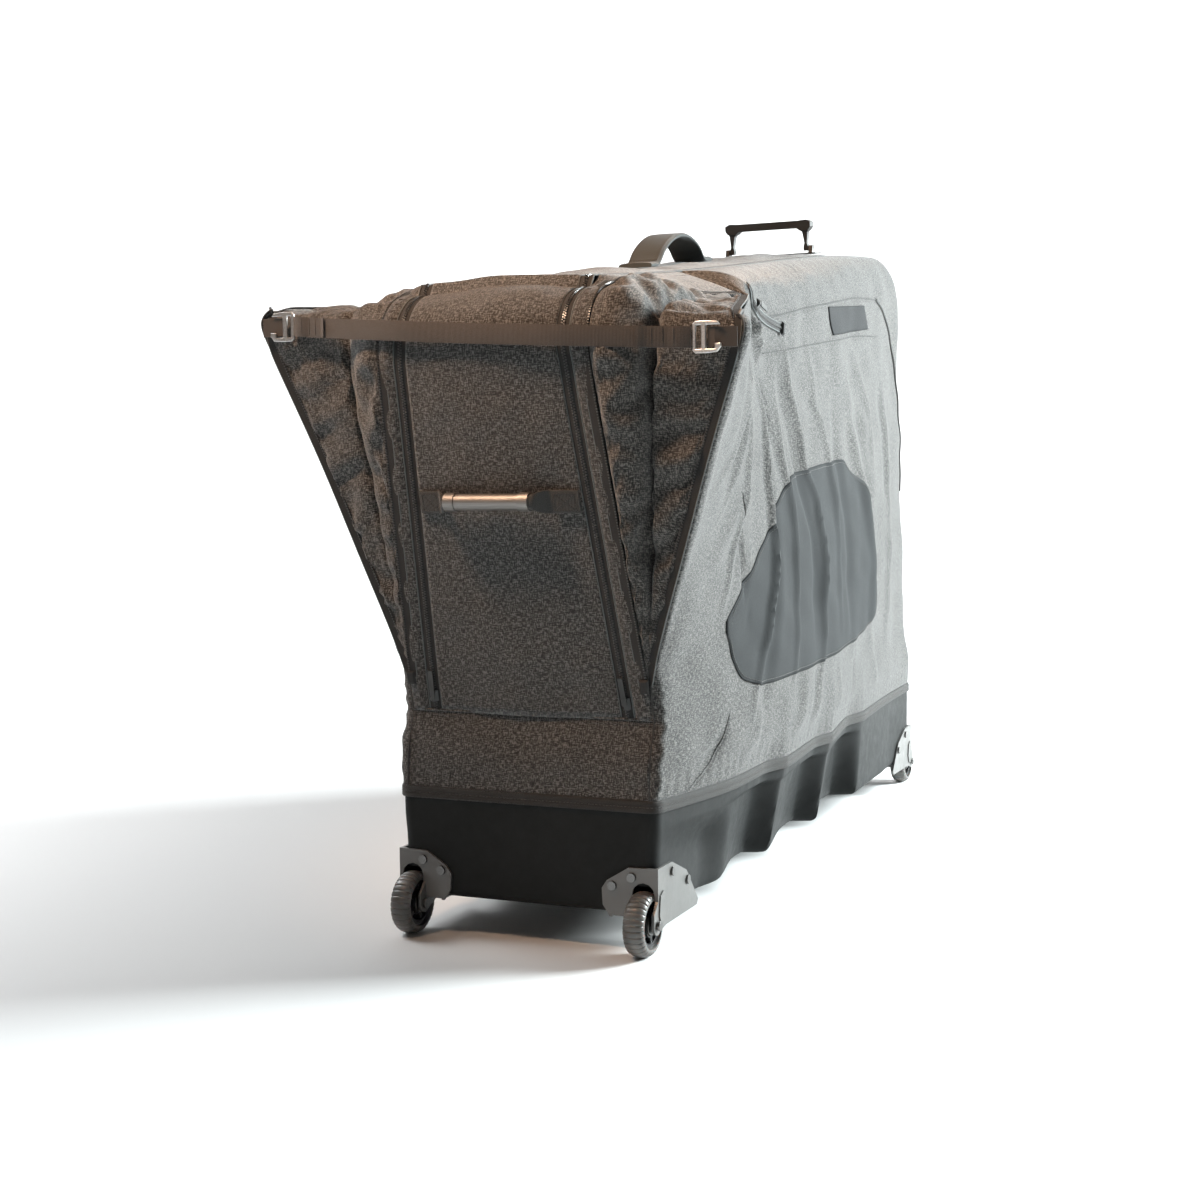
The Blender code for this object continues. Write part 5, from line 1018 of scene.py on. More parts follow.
# Lower cloth at the two ends
# The same padded cloth, sewn in at the rim: a band that leans in under the near panel, and the
# far end's lower part. Both stay with the tub.
across = np.linspace(-1.0, 1.0, 91)
up = np.linspace(0.0, 1.0, 26)[:, None]
band_z = CLOTH_LOW + (FOLD_Z + 0.0012 - CLOTH_LOW) * up + 0.0 * across
band_x = SEAM_X * across + 0.0 * band_z
ripple = 0.0024 * billow(band_x, band_z, 0.09, 0.7) * np.sin(math.pi * up) \
    + puckers(band_x, 0.0009, 0.024, 2.0, 60.0) * (1.0 - up) ** 3 * smooth(up * 8.0)
band_grid = np.stack([band_x, NEAR_Y + band_s(band_z) - ripple, band_z], axis=-1)
fixed(padded_cloth("near_lower_cloth", band_grid), "base", "fabric", "near_lower_band")
far_z = CLOTH_LOW + (FOLD_Z + 0.004 - CLOTH_LOW) * up
far_x = far_inner(far_z, zip_edge(0.106)) * across[None, :]
far_wave = 0.0016 * billow(far_x, far_z, 0.12, 1.9) * np.sin(math.pi * up)
far_grid = np.stack([far_x, NEAR_Y + far_limit(far_z) + far_wave, far_z + 0.0 * far_x], axis=-1)
fixed(padded_cloth("far_lower_cloth", far_grid), "base", "fabric", "lower_skirt")


# Centre cloth
# One padded strip between the two main zips: up the near face, along the roof and down the far
# face, a little domed, with soft wrinkles across it. It stays with the tub.
def fillet(corner, first, second, radius, steps):
    """Points of an arc that rounds a corner from one direction into the next."""
    first, second = unit(first), unit(second)
    turn = math.acos(float(np.clip(first @ second, -1.0, 1.0)))
    start = np.asarray(corner) - first * radius * math.tan(turn / 2.0)
    inward = unit(second - first * (first @ second))
    angles = np.linspace(0.0, turn, steps + 1)[:, None]
    return start + inward * radius * (1.0 - np.cos(angles)) + first * radius * np.sin(angles)


def centre_path(start_z, detail):
    """The middle line as (s, z) points: the near face's line, a fillet, the roof, a fillet and
    the far face's line. Also the number of points up to the end of each part."""
    lean = np.array((-math.sin(NEAR_LEAN), math.cos(NEAR_LEAN)))
    slope = float(roof_z(-0.03) - roof_z(-0.06)) / 0.03
    reach = (float(roof_z(-0.05)) - FOLD_Z - slope * (NEAR_SEAM_S + 0.05)) \
        / (lean[1] - slope * lean[0])
    near_arc = fillet(np.array((NEAR_SEAM_S, FOLD_Z)) + lean * reach, lean, (1.0, slope),
                      NEAR_TOP_RADIUS, 5 * detail)
    far_slope = float(roof_z(ROOF_END) - roof_z(ROOF_END - 0.05)) / 0.05
    far_corner = (FAR_S, float(roof_z(ROOF_END)) + far_slope * (FAR_S - ROOF_END))
    far_arc = fillet(far_corner, (1.0, far_slope), (0.0, -1.0), FAR_TOP_RADIUS, 5 * detail)
    near_z = np.linspace(start_z, near_arc[0, 1], 5 * detail + 1)[:-1]
    roof_s = np.linspace(near_arc[-1, 0], far_arc[0, 0], 14 * detail + 1)[1:-1]
    far_z = np.linspace(far_arc[-1, 1], PANEL_LOW, 5 * detail + 1)[1:]
    parts = (np.stack([lean_s(near_z), near_z], axis=1), near_arc,
             np.stack([roof_s, roof_z(roof_s)], axis=1), far_arc,
             np.stack([np.full_like(far_z, FAR_S), far_z], axis=1))
    return np.concatenate(parts), np.cumsum([len(part) for part in parts])


def path_out(path):
    """Outward directions along a line of (s, z) points that runs clockwise over the case."""
    run = heading(path)
    return np.stack([-run[:, 1], run[:, 0]], axis=1)


path, marks = centre_path(PANEL_LOW, 9)
out = path_out(path)
zip_x = main_zip_x(path[:, 0], path[:, 1])
zip_x = np.convolve(np.pad(zip_x, 6, mode="edge"), np.full(13, 1.0 / 13.0), mode="valid")
walked = walk(path)[:, None]
across = np.linspace(-1.0, 1.0, 61)[None, :]
from_edge = 1.0 - np.abs(across)
centre_x = (zip_x - ZIP_WIDTH / 2.0 - 0.0003)[:, None] * across
dome = ROOF_CROWN * (1.0 - (centre_x / zip_x[:, None]) ** 2)
rumple = 0.0018 * billow(centre_x, walked, 0.15, 0.4) + 0.0009 * billow(centre_x, walked, 0.05, 2.0)
roof_lines = []
for k, ridge_s in enumerate((0.10, 0.215, 0.30, 0.585, 0.625, 0.675, 0.72, 0.79, 0.945)):
    tilt = 0.018 * math.sin(2.4 * k + 0.5)
    ridge = ((ridge_s - tilt, -0.085), (ridge_s, 0.0), (ridge_s + tilt, 0.085))
    roof_lines.append((0.0032 * (1.0 if k % 2 else -0.8), 0.009 + 0.002 * (k % 3), ridge))
steps = np.arange(len(path))[:, None]
on_roof = (steps > marks[1]) & (steps < marks[2])
rumple = rumple + folds(path[:, :1] + 0.0 * centre_x, centre_x, roof_lines) * on_roof
hem_pucker = puckers(walked, 0.0007, 0.023, 2.0, 31.0) * np.exp(-from_edge / 0.12) \
    * smooth(from_edge / 0.03)
lift = dome + rumple * smooth(from_edge / 0.25) + hem_pucker
centre_grid = np.stack([centre_x, NEAR_Y + path[:, :1] + out[:, :1] * lift,
                        path[:, 1:] + out[:, 1:] * lift], axis=-1)
fixed(padded_cloth("centre_cloth", centre_grid), "base", "fabric", "near_panel", "roof_panel",
      "far_panel")


# Main zips
# Two long coil zips between the centre cloth and the sides. Each half is a black tape with a row of
# teeth, and a thin pale piping covers its sewn edge. The inner half rides on the tub; the outer
# half belongs to the side but is not made to swing with it.
def drawn(name, material, centres, across, out, profile):
    """A piece whose profile of (across, out) points is carried along a line, closed at its ends:
    rows are places on the line."""
    profile = np.asarray(profile, float)
    grid = centres[:, None] + across[:, None] * profile[None, :, 0:1] \
        + out[:, None] * profile[None, :, 1:2]
    return place(name, surface(name, grid, round_about=True, capped=True), material)


def round_profile(radius, sides=8):
    """A round profile."""
    angle = np.arange(sides) * 2.0 * math.pi / sides
    return np.stack([radius * np.cos(angle), radius * np.sin(angle)], axis=1)


tape_black = woven("zip_tape_black", (0.006, 0.006, 0.006), (0.022, 0.021, 0.020), 0.0011, 0.8, 0.0)
tooth_black = finish("zip_tooth_black", (0.045, 0.044, 0.043), 0.35, Coat_Weight=0.2)
mottled(tooth_black, 220.0, 2.0, (0.35, (0.030, 0.029, 0.028)), (0.70, (0.085, 0.083, 0.080)))
piping_pale = woven("piping_pale", (0.045, 0.052, 0.052), (0.12, 0.135, 0.135), 0.0008, 0.7, 0.2)
PIPING = round_profile(0.0008, 7)
MAIN_TAPE = np.array(((0.4, -1.2), (7.8, -1.2), (7.8, -0.4), (3, -0.3), (1.6, 0.1),
                      (0.4, 0.1))) / 1000.0
MAIN_TOOTH, TOOTH_PITCH = (0.0017, 0.0026, 0.0014), 0.0030
zip_line = np.stack([zip_x, NEAR_Y + path[:, 0], path[:, 1]], axis=1)
zip_out = np.stack([np.zeros(len(path)), out[:, 0], out[:, 1]], axis=1)
zip_across = np.tile((1.0, 0.0, 0.0), (len(path), 1))
for side, side_name in SIDES:
    flip = np.array((side, 1.0, 1.0))
    for half, half_name in ((-1.0, "inner"), (1.0, "outer")):
        end = f"{half_name}_{side_name}"
        tape = drawn("main_zip_tape_" + end, tape_black, zip_line * flip, zip_across * flip,
                     zip_out, MAIN_TAPE * (half, 1.0))
        teeth = row_of("main_zip_teeth_" + end, tooth_black,
                       (zip_line + zip_across * half * 0.0011) * flip, zip_out, TOOTH_PITCH,
                       MAIN_TOOTH, 0.0, 0.5 if half > 0 else 1.0)
        piping = drawn("main_zip_piping_" + end, piping_pale,
                       (zip_line + zip_across * half * 0.0076) * flip, zip_across * flip, zip_out,
                       PIPING)
        for piece, slot, replaced in ((tape, "zip", ["main_zip_" + side_name]),
                                      (teeth, "zip", []), (piping, "fabric", [])):
            if half < 0:
                fixed(piece, "base", slot, *replaced)
            else:
                swing(piece, side_name, slot)


# Edge cloths
# The narrow padded strip between a main zip and its gusset zip, from the fold line over the near
# edge to the gusset's end. A row of stitches and small bar-tacks runs beside the main zip.
GUSSET_FOOT_Z, FRONT_ROWS, BACK_ROWS = 0.288, 64, 56


def resampled(points, count):
    """A line's points, spaced evenly along its length."""
    walked = walk(points)
    return between(np.linspace(0.0, walked[-1], count), walked, points)


def softened(points, reach):
    """A line's points after a running mean, with its ends kept."""
    padded = np.concatenate([2.0 * points[:1] - points[reach:0:-1], points,
                             2.0 * points[-1:] - points[-2:-reach - 2:-1]])
    kernel = np.full(2 * reach + 1, 1.0 / (2 * reach + 1))
    return np.stack([np.convolve(column, kernel, mode="valid") for column in padded.T], axis=1)


def gusset_lines(side):
    """The two lines that the gusset is sewn between, FRONT_ROWS and BACK_ROWS steps long: beside
    the edge cloth, up the near face and along the roof, and on the wing, up its front edge and
    back along its top."""
    path, marks = centre_path(GUSSET_FOOT_Z, 2)
    end_s = GUSSET_END_S - 0.007
    rest = path[marks[1]:]
    rest = rest[rest[:, 0] < end_s - 0.01]
    path = np.concatenate([path[:marks[1]], rest, [(end_s, roof_z(end_s))]])
    walked = walk(path)
    on_face = np.abs(path[:, 1] - 0.690) + 10.0 * (np.arange(len(path)) > marks[1])
    bend = walked[np.argmin(on_face)]
    places = np.concatenate([np.linspace(0.0, bend, FRONT_ROWS + 1),
                             np.linspace(bend, walked[-1], BACK_ROWS + 1)[1:]])
    s, z = between(places, walked, path).T
    over = clamp((s + 0.05) / (GUSSET_END_S + 0.05))
    front_x = 0.146 - 0.026 * clamp((z - FOLD_Z) / 0.40)
    on_top = smooth((places - bend) / 0.03)
    x = front_x + (0.120 + 0.070 * over ** 1.6 - front_x) * on_top
    inner = np.stack([x, NEAR_Y + s, z - on_top * 0.031 * smooth(over * 1.1)], axis=1)
    tip_z = WING_TOP_Z[side]
    wing_z = GUSSET_FOOT_Z + (tip_z - GUSSET_FOOT_Z) * np.linspace(0.0, 1.0, FRONT_ROWS + 1)
    wing_s = edge_s(wing_z) + tip_s(wing_z, side)
    in_from_seam = 0.0075 * (1.0 - smooth((wing_z - WING_LOW_Z) / 0.035))
    wing_x = wall_half(wing_s, wing_z) - hem_size(wing_z)[1] - in_from_seam
    wing = np.stack([wing_x + tip_x(wing_z, side, 1.0), NEAR_Y + wing_s, wing_z], axis=1)
    back = np.linspace(0.0, 1.0, BACK_ROWS + 1)[1:] * 0.97
    top_line = tip_z + (WING_END_Z - tip_z) * back
    start = edge_s(tip_z) + tip_s(tip_z, side)
    top_s = start + (GUSSET_END_S - start) * back
    top_x = wall_half(top_s, top_line) - 0.0045 * (1.0 - back) \
        + tip_x(tip_z, side, (1.0 - back) ** 2)
    top = np.stack([top_x, NEAR_Y + top_s, top_line], axis=1)
    return softened(inner, 3), softened(np.concatenate([wing, top]), 4)


def edge_lines(side):
    """The edge cloth's two sides, row by row: beside the main zip, and along the gusset. Towards
    the gusset's end the rows run askew, so that the cloth meets the side."""
    inner = gusset_lines(side)[0]
    path = centre_path(PANEL_LOW, 4)[0]
    beside = zip_edge(main_zip_x(path[:, 0], path[:, 1]))
    walked = walk(path)
    foot_z = np.linspace(PANEL_LOW, GUSSET_FOOT_Z - 0.004, 8)
    foot_x = np.interp(foot_z, (FOLD_Z, GUSSET_FOOT_Z), (SEAM_X, inner[0, 0]))
    foot = np.stack([foot_x, NEAR_Y + lean_s(foot_z), foot_z], axis=1)
    outer = np.concatenate([foot, inner])
    to_path = np.hypot(outer[:, 1:2] - NEAR_Y - path[None, :, 0], outer[:, 2:3] - path[None, :, 1])
    places = np.maximum.accumulate(walked[np.argmin(to_path, axis=1)])
    places = softened(places[:, None], 4)[:, 0]
    past = clamp((outer[:, 1] - NEAR_Y - 0.05) / (GUSSET_END_S - 0.05))
    places = places + past ** 2 * GUSSET_SEAM
    main = between(places, walked, np.column_stack([beside, path]))
    return main + (0.0, NEAR_Y, 0.0), outer


STITCH_DARK = (0.0030, 0.0006, 0.0004)
for side, side_name in SIDES:
    flip = np.array((side, 1.0, 1.0))
    main, outer = edge_lines(side)
    # The end runs on below the side's cloth, so that no gap is left between the two.
    tuck_length, tuck_depth = 0.028, 0.007
    tuck = np.linspace(0.0, 1.0, 7)[1:, None]
    sink = tuck ** 2 * (0.0, 0.0, -tuck_depth)
    main = np.concatenate([main, main[-1] + tuck * tuck_length * unit(main[-1] - main[-5]) + sink])
    outer = np.concatenate([outer, outer[-1] + tuck * (0.0, tuck_length, 0.0) + sink])
    share = np.linspace(0.0, 1.0, 15)[None, :]
    grid = (main[:, None] + (outer - main)[:, None] * share[..., None]) * flip
    normal = normals_of(grid, 1)
    normal *= np.where((normal * (grid - CASE_MIDDLE)).sum() < 0.0, -1.0, 1.0)
    crest = np.sin(math.pi * share)
    pad = 0.0022 * crest ** 0.7 \
        + 0.0007 * billow(walk(outer)[:, None], share * 0.03, 0.045, side) * crest
    grid = grid + normal * pad[..., None]
    cloth = padded_cloth("edge_cloth_" + side_name, grid, 0.002)
    swing(cloth, side_name, "fabric", "edge_strip_" + side_name)
    swing(row_of("edge_stitches_" + side_name, thread_dark, grid[:-6, 3], normal[:-6, 3], 0.0040,
                 STITCH_DARK), side_name, "fabric")
    swing(row_of("edge_bar_tacks_" + side_name, thread_dark, grid[58:76, 6], normal[58:76, 6],
                 0.011, (0.0016, 0.0050, 0.0007)), side_name, "fabric")


# Gussets
# Unpadded cloth that opens between the edge cloth and the wing, and folds inwards along a deep
# crease when its zip is closed. It is slack, with pinches across its front and a crumpled top,
# and a cloth simulation adds its small creases.
gusset_cloth = heather("gusset_cloth", (0.005, 0.004, 0.003), (0.034, 0.031, 0.028),
                       (0.146, 0.135, 0.122))
# Across the gusset: the place up it, the width and the depth of each pinch, for each side.
PINCHES = {
    1: ((0.30, 0.030, 0.0030), (0.38, 0.026, -0.0035), (0.45, 0.028, 0.0050),
        (0.52, 0.024, -0.0060), (0.59, 0.028, 0.0055), (0.655, 0.024, -0.0060),
        (0.71, 0.028, 0.0060), (0.78, 0.028, -0.0035), (0.86, 0.030, 0.0035)),
    -1: ((0.31, 0.030, -0.0020), (0.42, 0.022, -0.0030), (0.47, 0.030, 0.0025),
         (0.57, 0.016, -0.0040), (0.61, 0.030, 0.0035), (0.70, 0.014, -0.0050),
         (0.735, 0.026, 0.0042), (0.800, 0.014, -0.0052), (0.835, 0.022, 0.0045),
         (0.885, 0.014, -0.0048), (0.925, 0.026, 0.0040))}


def settle(piece, held, extra, most):
    """Lets a slack sheet crumple by itself: a cloth simulation without gravity, sewn along the
    held points, of a cloth that is longer than its frame by the share extra. A point moves at
    most * tanh(distance / most)."""
    scene, mesh, frames = bpy.context.scene, piece.data, 22
    sewn = piece.vertex_groups.new(name="sewn")
    sewn.add(held, 1.0, "REPLACE")
    cloth = piece.modifiers.new("settle", "CLOTH")
    cloth.settings.vertex_group_mass = "sewn"
    cloth.settings.shrink_min = -extra
    cloth.settings.bending_stiffness = 0.2
    cloth.settings.effector_weights.gravity = 0.0
    cloth.point_cache.frame_start, cloth.point_cache.frame_end = 1, frames
    for frame in range(1, frames + 1):
        scene.frame_set(frame)
    start, end = np.empty((2, len(mesh.vertices) * 3))
    mesh.vertices.foreach_get("co", start)
    settled = piece.evaluated_get(bpy.context.evaluated_depsgraph_get()).data
    settled.vertices.foreach_get("co", end)
    moved = (end - start).reshape(-1, 3)
    far = np.linalg.norm(moved, axis=1, keepdims=True) + 1e-9
    moved *= most * np.tanh(far / most) / far
    piece.modifiers.remove(cloth)
    piece.vertex_groups.remove(sewn)
    mesh.vertices.foreach_set("co", start + moved.ravel())
    mesh.update()
    scene.frame_set(1)


for side, side_name in SIDES:
    right = side > 0
    inner, wing = gusset_lines(side)
    rows = int(len(inner) * 0.955)
    start = (inner + (0.001, 0.0, 0.0))[:rows, None]
    end = (wing - (0.0040, 0.0, 0.0))[:rows, None]
    # at is 0 at the foot and 1 at the wing's tip, and t runs from the edge cloth to the wing.
    at = (np.arange(rows) / FRONT_ROWS)[:, None]
    t = np.linspace(0.0, 1.0, 61)[None, :]
    tail = clamp((len(inner) / FRONT_ROWS - 1.05 - at + 1.0) / 0.6)
    rising = smooth(at * 2.0)
    strapped = np.exp(-((at - 0.93) / 0.075) ** 4)
    # A valley inside a wide dip, with a bulge on its inner side that the strap holds down.
    crease_at = 0.40 if right else 0.34
    narrow, wide_dip, full = (0.022, 0.012, 0.016) if right else (0.008, 0.010, 0.005)
    fold = 1.0 - np.abs(t - crease_at) / np.where(t < crease_at, crease_at, 1.0 - crease_at)
    stray, width = 0.014 * np.sin(11.0 * at), 0.032 + 0.012 * np.sin(7.0 * at)
    valley = np.exp(-(np.abs(t - crease_at - stray) / width) ** 1.6)
    depth = (wide_dip * smooth(at * 1.6) * smooth(fold) + narrow * rising * valley) * tail
    bulge = full * np.sin(math.pi * clamp(t / crease_at)) * rising * tail \
        * (1.0 - 0.4 * strapped)
    # Pinches that slant across the outer side, and waves over the top.
    slant = 0.12 if right else -0.10
    pinch = sum(high * np.exp(-((at - where - slant * (t - 0.5)) / wide) ** 2)
                for where, wide, high in PINCHES[side]) * tail \
        * (0.60 + 0.40 * billow(at * 0.4, t * 0.1, 0.08, 7.0)) \
        * smooth((t - crease_at - 0.01) / 0.10) * smooth((1.0 - t) / 0.16)
    crumple = (1.0 if right else 0.45) * smooth((at - 0.98) / 0.12) * tail * np.sin(math.pi * t) \
        * (0.0038 * np.sin(t * 13.0 + 6.0 * at + side) + 0.0026 * np.sin(31.0 * at - 7.0 * t + 2.0)
           + 0.0010 * np.sin(57.0 * at + 19.0 * t))
    small = 0.0042 * billow(at * 0.36, t * 0.1, 0.050, 3.1 * side) * np.sin(math.pi * t) \
        * smooth(at * 3.0)
    small += 0.0034 * billow(at * 0.36, t * 0.12, 0.034, 1.3) * smooth(t / 0.08) \
        * smooth((crease_at - t) / 0.08) * rising * tail * (1.0 - strapped)
    tilt = smooth((at - 0.86) / 0.34)
    inward = np.stack([0.0 * at + 0.0 * t, 1.0 - tilt + 0.0 * t, -tilt + 0.0 * t], axis=-1)
    move = depth - bulge - pinch - crumple - small
    grid = (start + (end - start) * t[..., None] + inward * move[..., None]) * (side, 1.0, 1.0)
    cloth = sheet("gusset_cloth_" + side_name, grid, gusset_cloth, (0.0, 0.3, 0.30))
    free = np.zeros((rows, 61), bool)
    free[3:-3, 4:-4] = strapped[3:-3] < 0.5
    settle(cloth, np.flatnonzero(~free).tolist(), 0.05, 0.006)
    thicken(cloth, "thickness", 0.0008)
    swing(cloth, side_name, "fabric", "gusset_" + side_name)


# Gusset zips
# A separating zip runs round the gusset's opening: one half on the edge cloth, the other on the
# wing's edge, with the same pale piping. Behind the gusset the two halves close and run on
# along the side as a tail that ends in a webbing tab.
HALF_WIDTH, TAPE_THICK, TAIL_HALF = 0.0048, 0.0009, 0.0052
HALF_TAPE = ((-HALF_WIDTH, 0.0), (HALF_WIDTH, 0.0), (HALF_WIDTH, TAPE_THICK),
             (-HALF_WIDTH, TAPE_THICK))
TAIL_TAPE = ((-TAIL_HALF, 0.0), (TAIL_HALF, 0.0), (TAIL_HALF, 0.0010), (0.0012, 0.0014),
             (-0.0012, 0.0014), (-TAIL_HALF, 0.0010))
TAIL_END = (0.385, 0.690)


def zip_half(name, line, out, reach, side_name, flip):
    """One half of the zip along a line: a tape, teeth on one edge of it and piping on the other.
    reach is the direction across the tape, from the teeth to the sewn edge."""
    across = unit(reach)
    tape = drawn(name + "_tape", tape_black, line * flip, across * flip, out * flip, HALF_TAPE)
    teeth = row_of(name + "_teeth", tooth_black, (line - across * HALF_WIDTH * 0.93) * flip,
                   out * flip, TOOTH_PITCH, (0.0017, 0.0028, 0.0016), 0.0003)
    piping = drawn(name + "_piping", piping_pale,
                   (line + across * HALF_WIDTH + out * 0.0004) * flip, across * flip, out * flip,
                   PIPING)
    swing(tape, side_name, "zip", name)
    swing(teeth, side_name, "zip")
    swing(piping, side_name, "fabric")


def tail_line(side, first_s, last_s, count):
    """The closed tail's line: straight in side view from the wing's end down to TAIL_END, with a
    crest where it leaves the roof, on the side's cloth."""
    s = np.linspace(first_s, last_s, count)
    crest = clamp(1.0 - (s - GUSSET_END_S) / 0.045)
    slope = (TAIL_END[1] - WING_END_Z) / (TAIL_END[0] - GUSSET_END_S)
    z = WING_END_Z + slope * (s - GUSSET_END_S) + 0.026 * crest
    points, out = on_side(side, s, z)
    return points * (side, 1.0, 1.0), out * (side, 1.0, 1.0)


for side, side_name in SIDES:
    flip = np.array((side, 1.0, 1.0))
    main, outer = edge_lines(side)
    main, outer = main[8:], outer[8:]
    reach = unit(outer - main)
    out = unit(np.cross(heading(outer), reach))
    out *= np.sign(out[:, 2:] - out[:, 1:2])
    line = softened(outer - reach * 0.0052 + out * 0.0012, 3)
    zip_half("gusset_zip_inner_" + side_name, line, out, -reach, side_name, flip)
    wing = gusset_lines(side)[1]
    wing = wing[:int(len(wing) * 0.96)]
    level = smooth((np.arange(len(wing)) - FRONT_ROWS) / 8.0 + 0.5)[:, None]
    facing = unit(np.array((0.0, -1.0, 0.0)) * (1.0 - level) + np.array((0.0, 0.0, 1.0)) * level)
    run = heading(wing)
    reach = unit(np.cross(facing, run))
    reach *= np.sign(reach[:, :1])
    out = unit(np.cross(run, reach))
    out *= np.sign((out * facing).sum(axis=1, keepdims=True))
    line = softened(wing - reach * 0.0040 + out * 0.0012, 3)
    zip_half("gusset_zip_outer_" + side_name, line, out, reach, side_name, flip)
    # The closed tail, with a row of teeth in its middle and piping on both edges.
    line, out = tail_line(side, GUSSET_END_S + 0.020, 0.392, 60)
    reach = unit(np.cross(out, heading(line)))
    pieces = [drawn("gusset_zip_tail_" + side_name, tape_black, (line + out * 0.0010) * flip,
                    reach * flip, out * flip, TAIL_TAPE),
              row_of("gusset_zip_tail_teeth_" + side_name, tooth_black,
                     (line + out * 0.0022) * flip, out * flip, 0.0015, (0.0010, 0.0040, 0.0012))]
    for way, way_name in ((1.0, "upper"), (-1.0, "lower")):
        pieces.append(drawn(f"gusset_zip_tail_piping_{way_name}_{side_name}", piping_pale,
                            (line + out * 0.0014 + reach * way * 0.0053) * flip, reach * flip,
                            out * flip, PIPING))
    # A folded tab closes the tail, a cast stop the wing's corner and a sewn patch the V's foot.
    foot_out = np.array((0.0, -1.0, -0.2))
    foot_line = (outer[0] + main[0] * 0.4 + wing[0] * 0.6) / 2.0 + foot_out * 0.004
    for name, middle, way, face, size, material in (
            ("gusset_tail_tab_", line[-1] + out[-1] * 0.0030, reach[-1], out[-1],
             (0.0170, 0.0080, 0.0030), tape_black),
            ("gusset_zip_stop_", wing[FRONT_ROWS + 1] + (0.0, -0.0030, 0.0040), (0.45, 0.2, 0.9),
             (0.0, -1.0, 0.3), (0.0080, 0.0030, 0.0024), bolt_steel),
            ("gusset_foot_patch_", foot_line, (0.0, -0.28, 0.96), foot_out,
             (0.0160, 0.0110, 0.0020), tape_black)):
        along = middle + unit(way) * np.array((-0.5, 0.0, 0.5))[:, None] * size[0]
        pieces.append(row_of(name + side_name, material, along * flip,
                             np.tile(unit(face) * flip, (3, 1)), size[0] * 0.99, size))
    for piece in pieces:
        swing(piece, side_name, "steel" if "stop" in piece.name else "zip")


# Sliders
# Cast zip sliders, painted black, with long pulls. The main ones are parked at the closed lower
# ends, and the gusset ones where the gusset zips part.
slider_black = painted("slider_black", (0.020, 0.020, 0.020), (0.060, 0.060, 0.058), 0.35, 0.4)
for side_name in ("right", "left"):
    for kind in ("main", "gusset"):
        name = f"{kind}_slider_{side_name}"
        refined(name, slider_black, name + "_body", "zip", 0.0005, 3)


# Side panels
# A smooth darker cloth panel, a long shield shape, topstitched flat on each side. It is bare.
def smooth_cloth(name, dark, middle, light):
    """A plain, hardly flecked cloth without a sheen."""
    return heather(name, dark, middle, light, 0.85, 0.0, 0.35, 0.0002, Specular_IOR_Level=0.15)


# Rows of s and the lower and upper z.
PANEL_OUTLINE = np.array((
    (143, 335, 346), (190, 276, 385), (250, 262, 424), (408, 264, 508), (560, 268, 522),
    (694, 274, 530), (790, 282, 498), (850, 298, 452), (887, 345, 405))) / 1000.0
panel_grey = smooth_cloth("panel_cloth", (0.018, 0.019, 0.020), (0.026, 0.028, 0.029),
                          (0.036, 0.039, 0.041))
place_s = np.linspace(PANEL_OUTLINE[0, 0], PANEL_OUTLINE[-1, 0], 150)
outline = between(place_s, PANEL_OUTLINE[:, 0], PANEL_OUTLINE[:, 1:])
low, high = softened(outline, 2).T
rise = np.linspace(0.0, 1.0, 50)
grid_z = low[:, None] + (high - low)[:, None] * rise[None, :]
grid_s = np.repeat(place_s[:, None], 50, axis=1)
edge = np.minimum(np.minimum(rise, 1.0 - rise)[None, :] * (high - low)[:, None],
                  np.minimum(grid_s - place_s[0], place_s[-1] - grid_s))
inset = 0.0045
border_s = np.concatenate([place_s[3:-3], place_s[-4:2:-1], place_s[3:4]])
border_z = np.concatenate([(low + inset)[3:-3], (high - inset)[-4:2:-1], (low + inset)[3:4]])
for side, side_name in SIDES:
    points, out = on_side(side, grid_s, grid_z)
    points = points + out * (0.0008 + 0.0010 * smooth(edge / 0.004))[..., None]
    panel = sheet("side_panel_cloth_" + side_name, points, panel_grey)
    thicken(panel, "thickness", 0.0012)
    swing(panel, side_name, "panel", "logo_panel_" + side_name)
    line, out = on_side(side, border_s, border_z, 0.0018)
    swing(row_of("side_panel_stitches_" + side_name, thread_dark, line, out, 0.0040,
                 (0.0030, 0.0006, 0.0005)), side_name, "panel")


# Seams
# Raised welts where the side's panels are sewn together: across the upper far side, down the far
# corner, a dart in front of the side panel and one below it, and the corner seam beside the near
# band. All but the dart and the one below it are darker than the cloth: partly the tape's own
# colour, partly painted shade along the seam.
# Seam tape darker than the cloth: partly its own colour, partly painted shade along the seams.
seam_dark_and_painted_shade = woven("seam_tape_and_painted_shade", (0.016, 0.015, 0.014), (0.050, 0.048, 0.046), 0.0010, 0.85, 0.15)
SEAMS = {
    "upper": (0.0012, seam_dark_and_painted_shade, ((0.300, 0.692), (0.546, 0.729), (0.790, 0.762), (0.935, 0.772))),
    "lower": (0.0009, seam_dark_and_painted_shade, ((0.330, 0.655), (0.447, 0.668), (0.807, 0.709), (0.930, 0.716))),
    "far": (0.0022, seam_dark_and_painted_shade, ((0.935, 0.772), (1.010, 0.745), (1.058, 0.690), (1.086, 0.600),
                                (1.092, 0.480))),
    "dart": (0.0008, cloth_grey, ((0.155, 0.490), (0.172, 0.440), (0.195, 0.375),
                                  (0.212, 0.330))),
    "skirt": (0.0008, cloth_grey, ((0.158, 0.240), (0.140, 0.218), (0.110, 0.192),
                                   (0.064, 0.170)))}
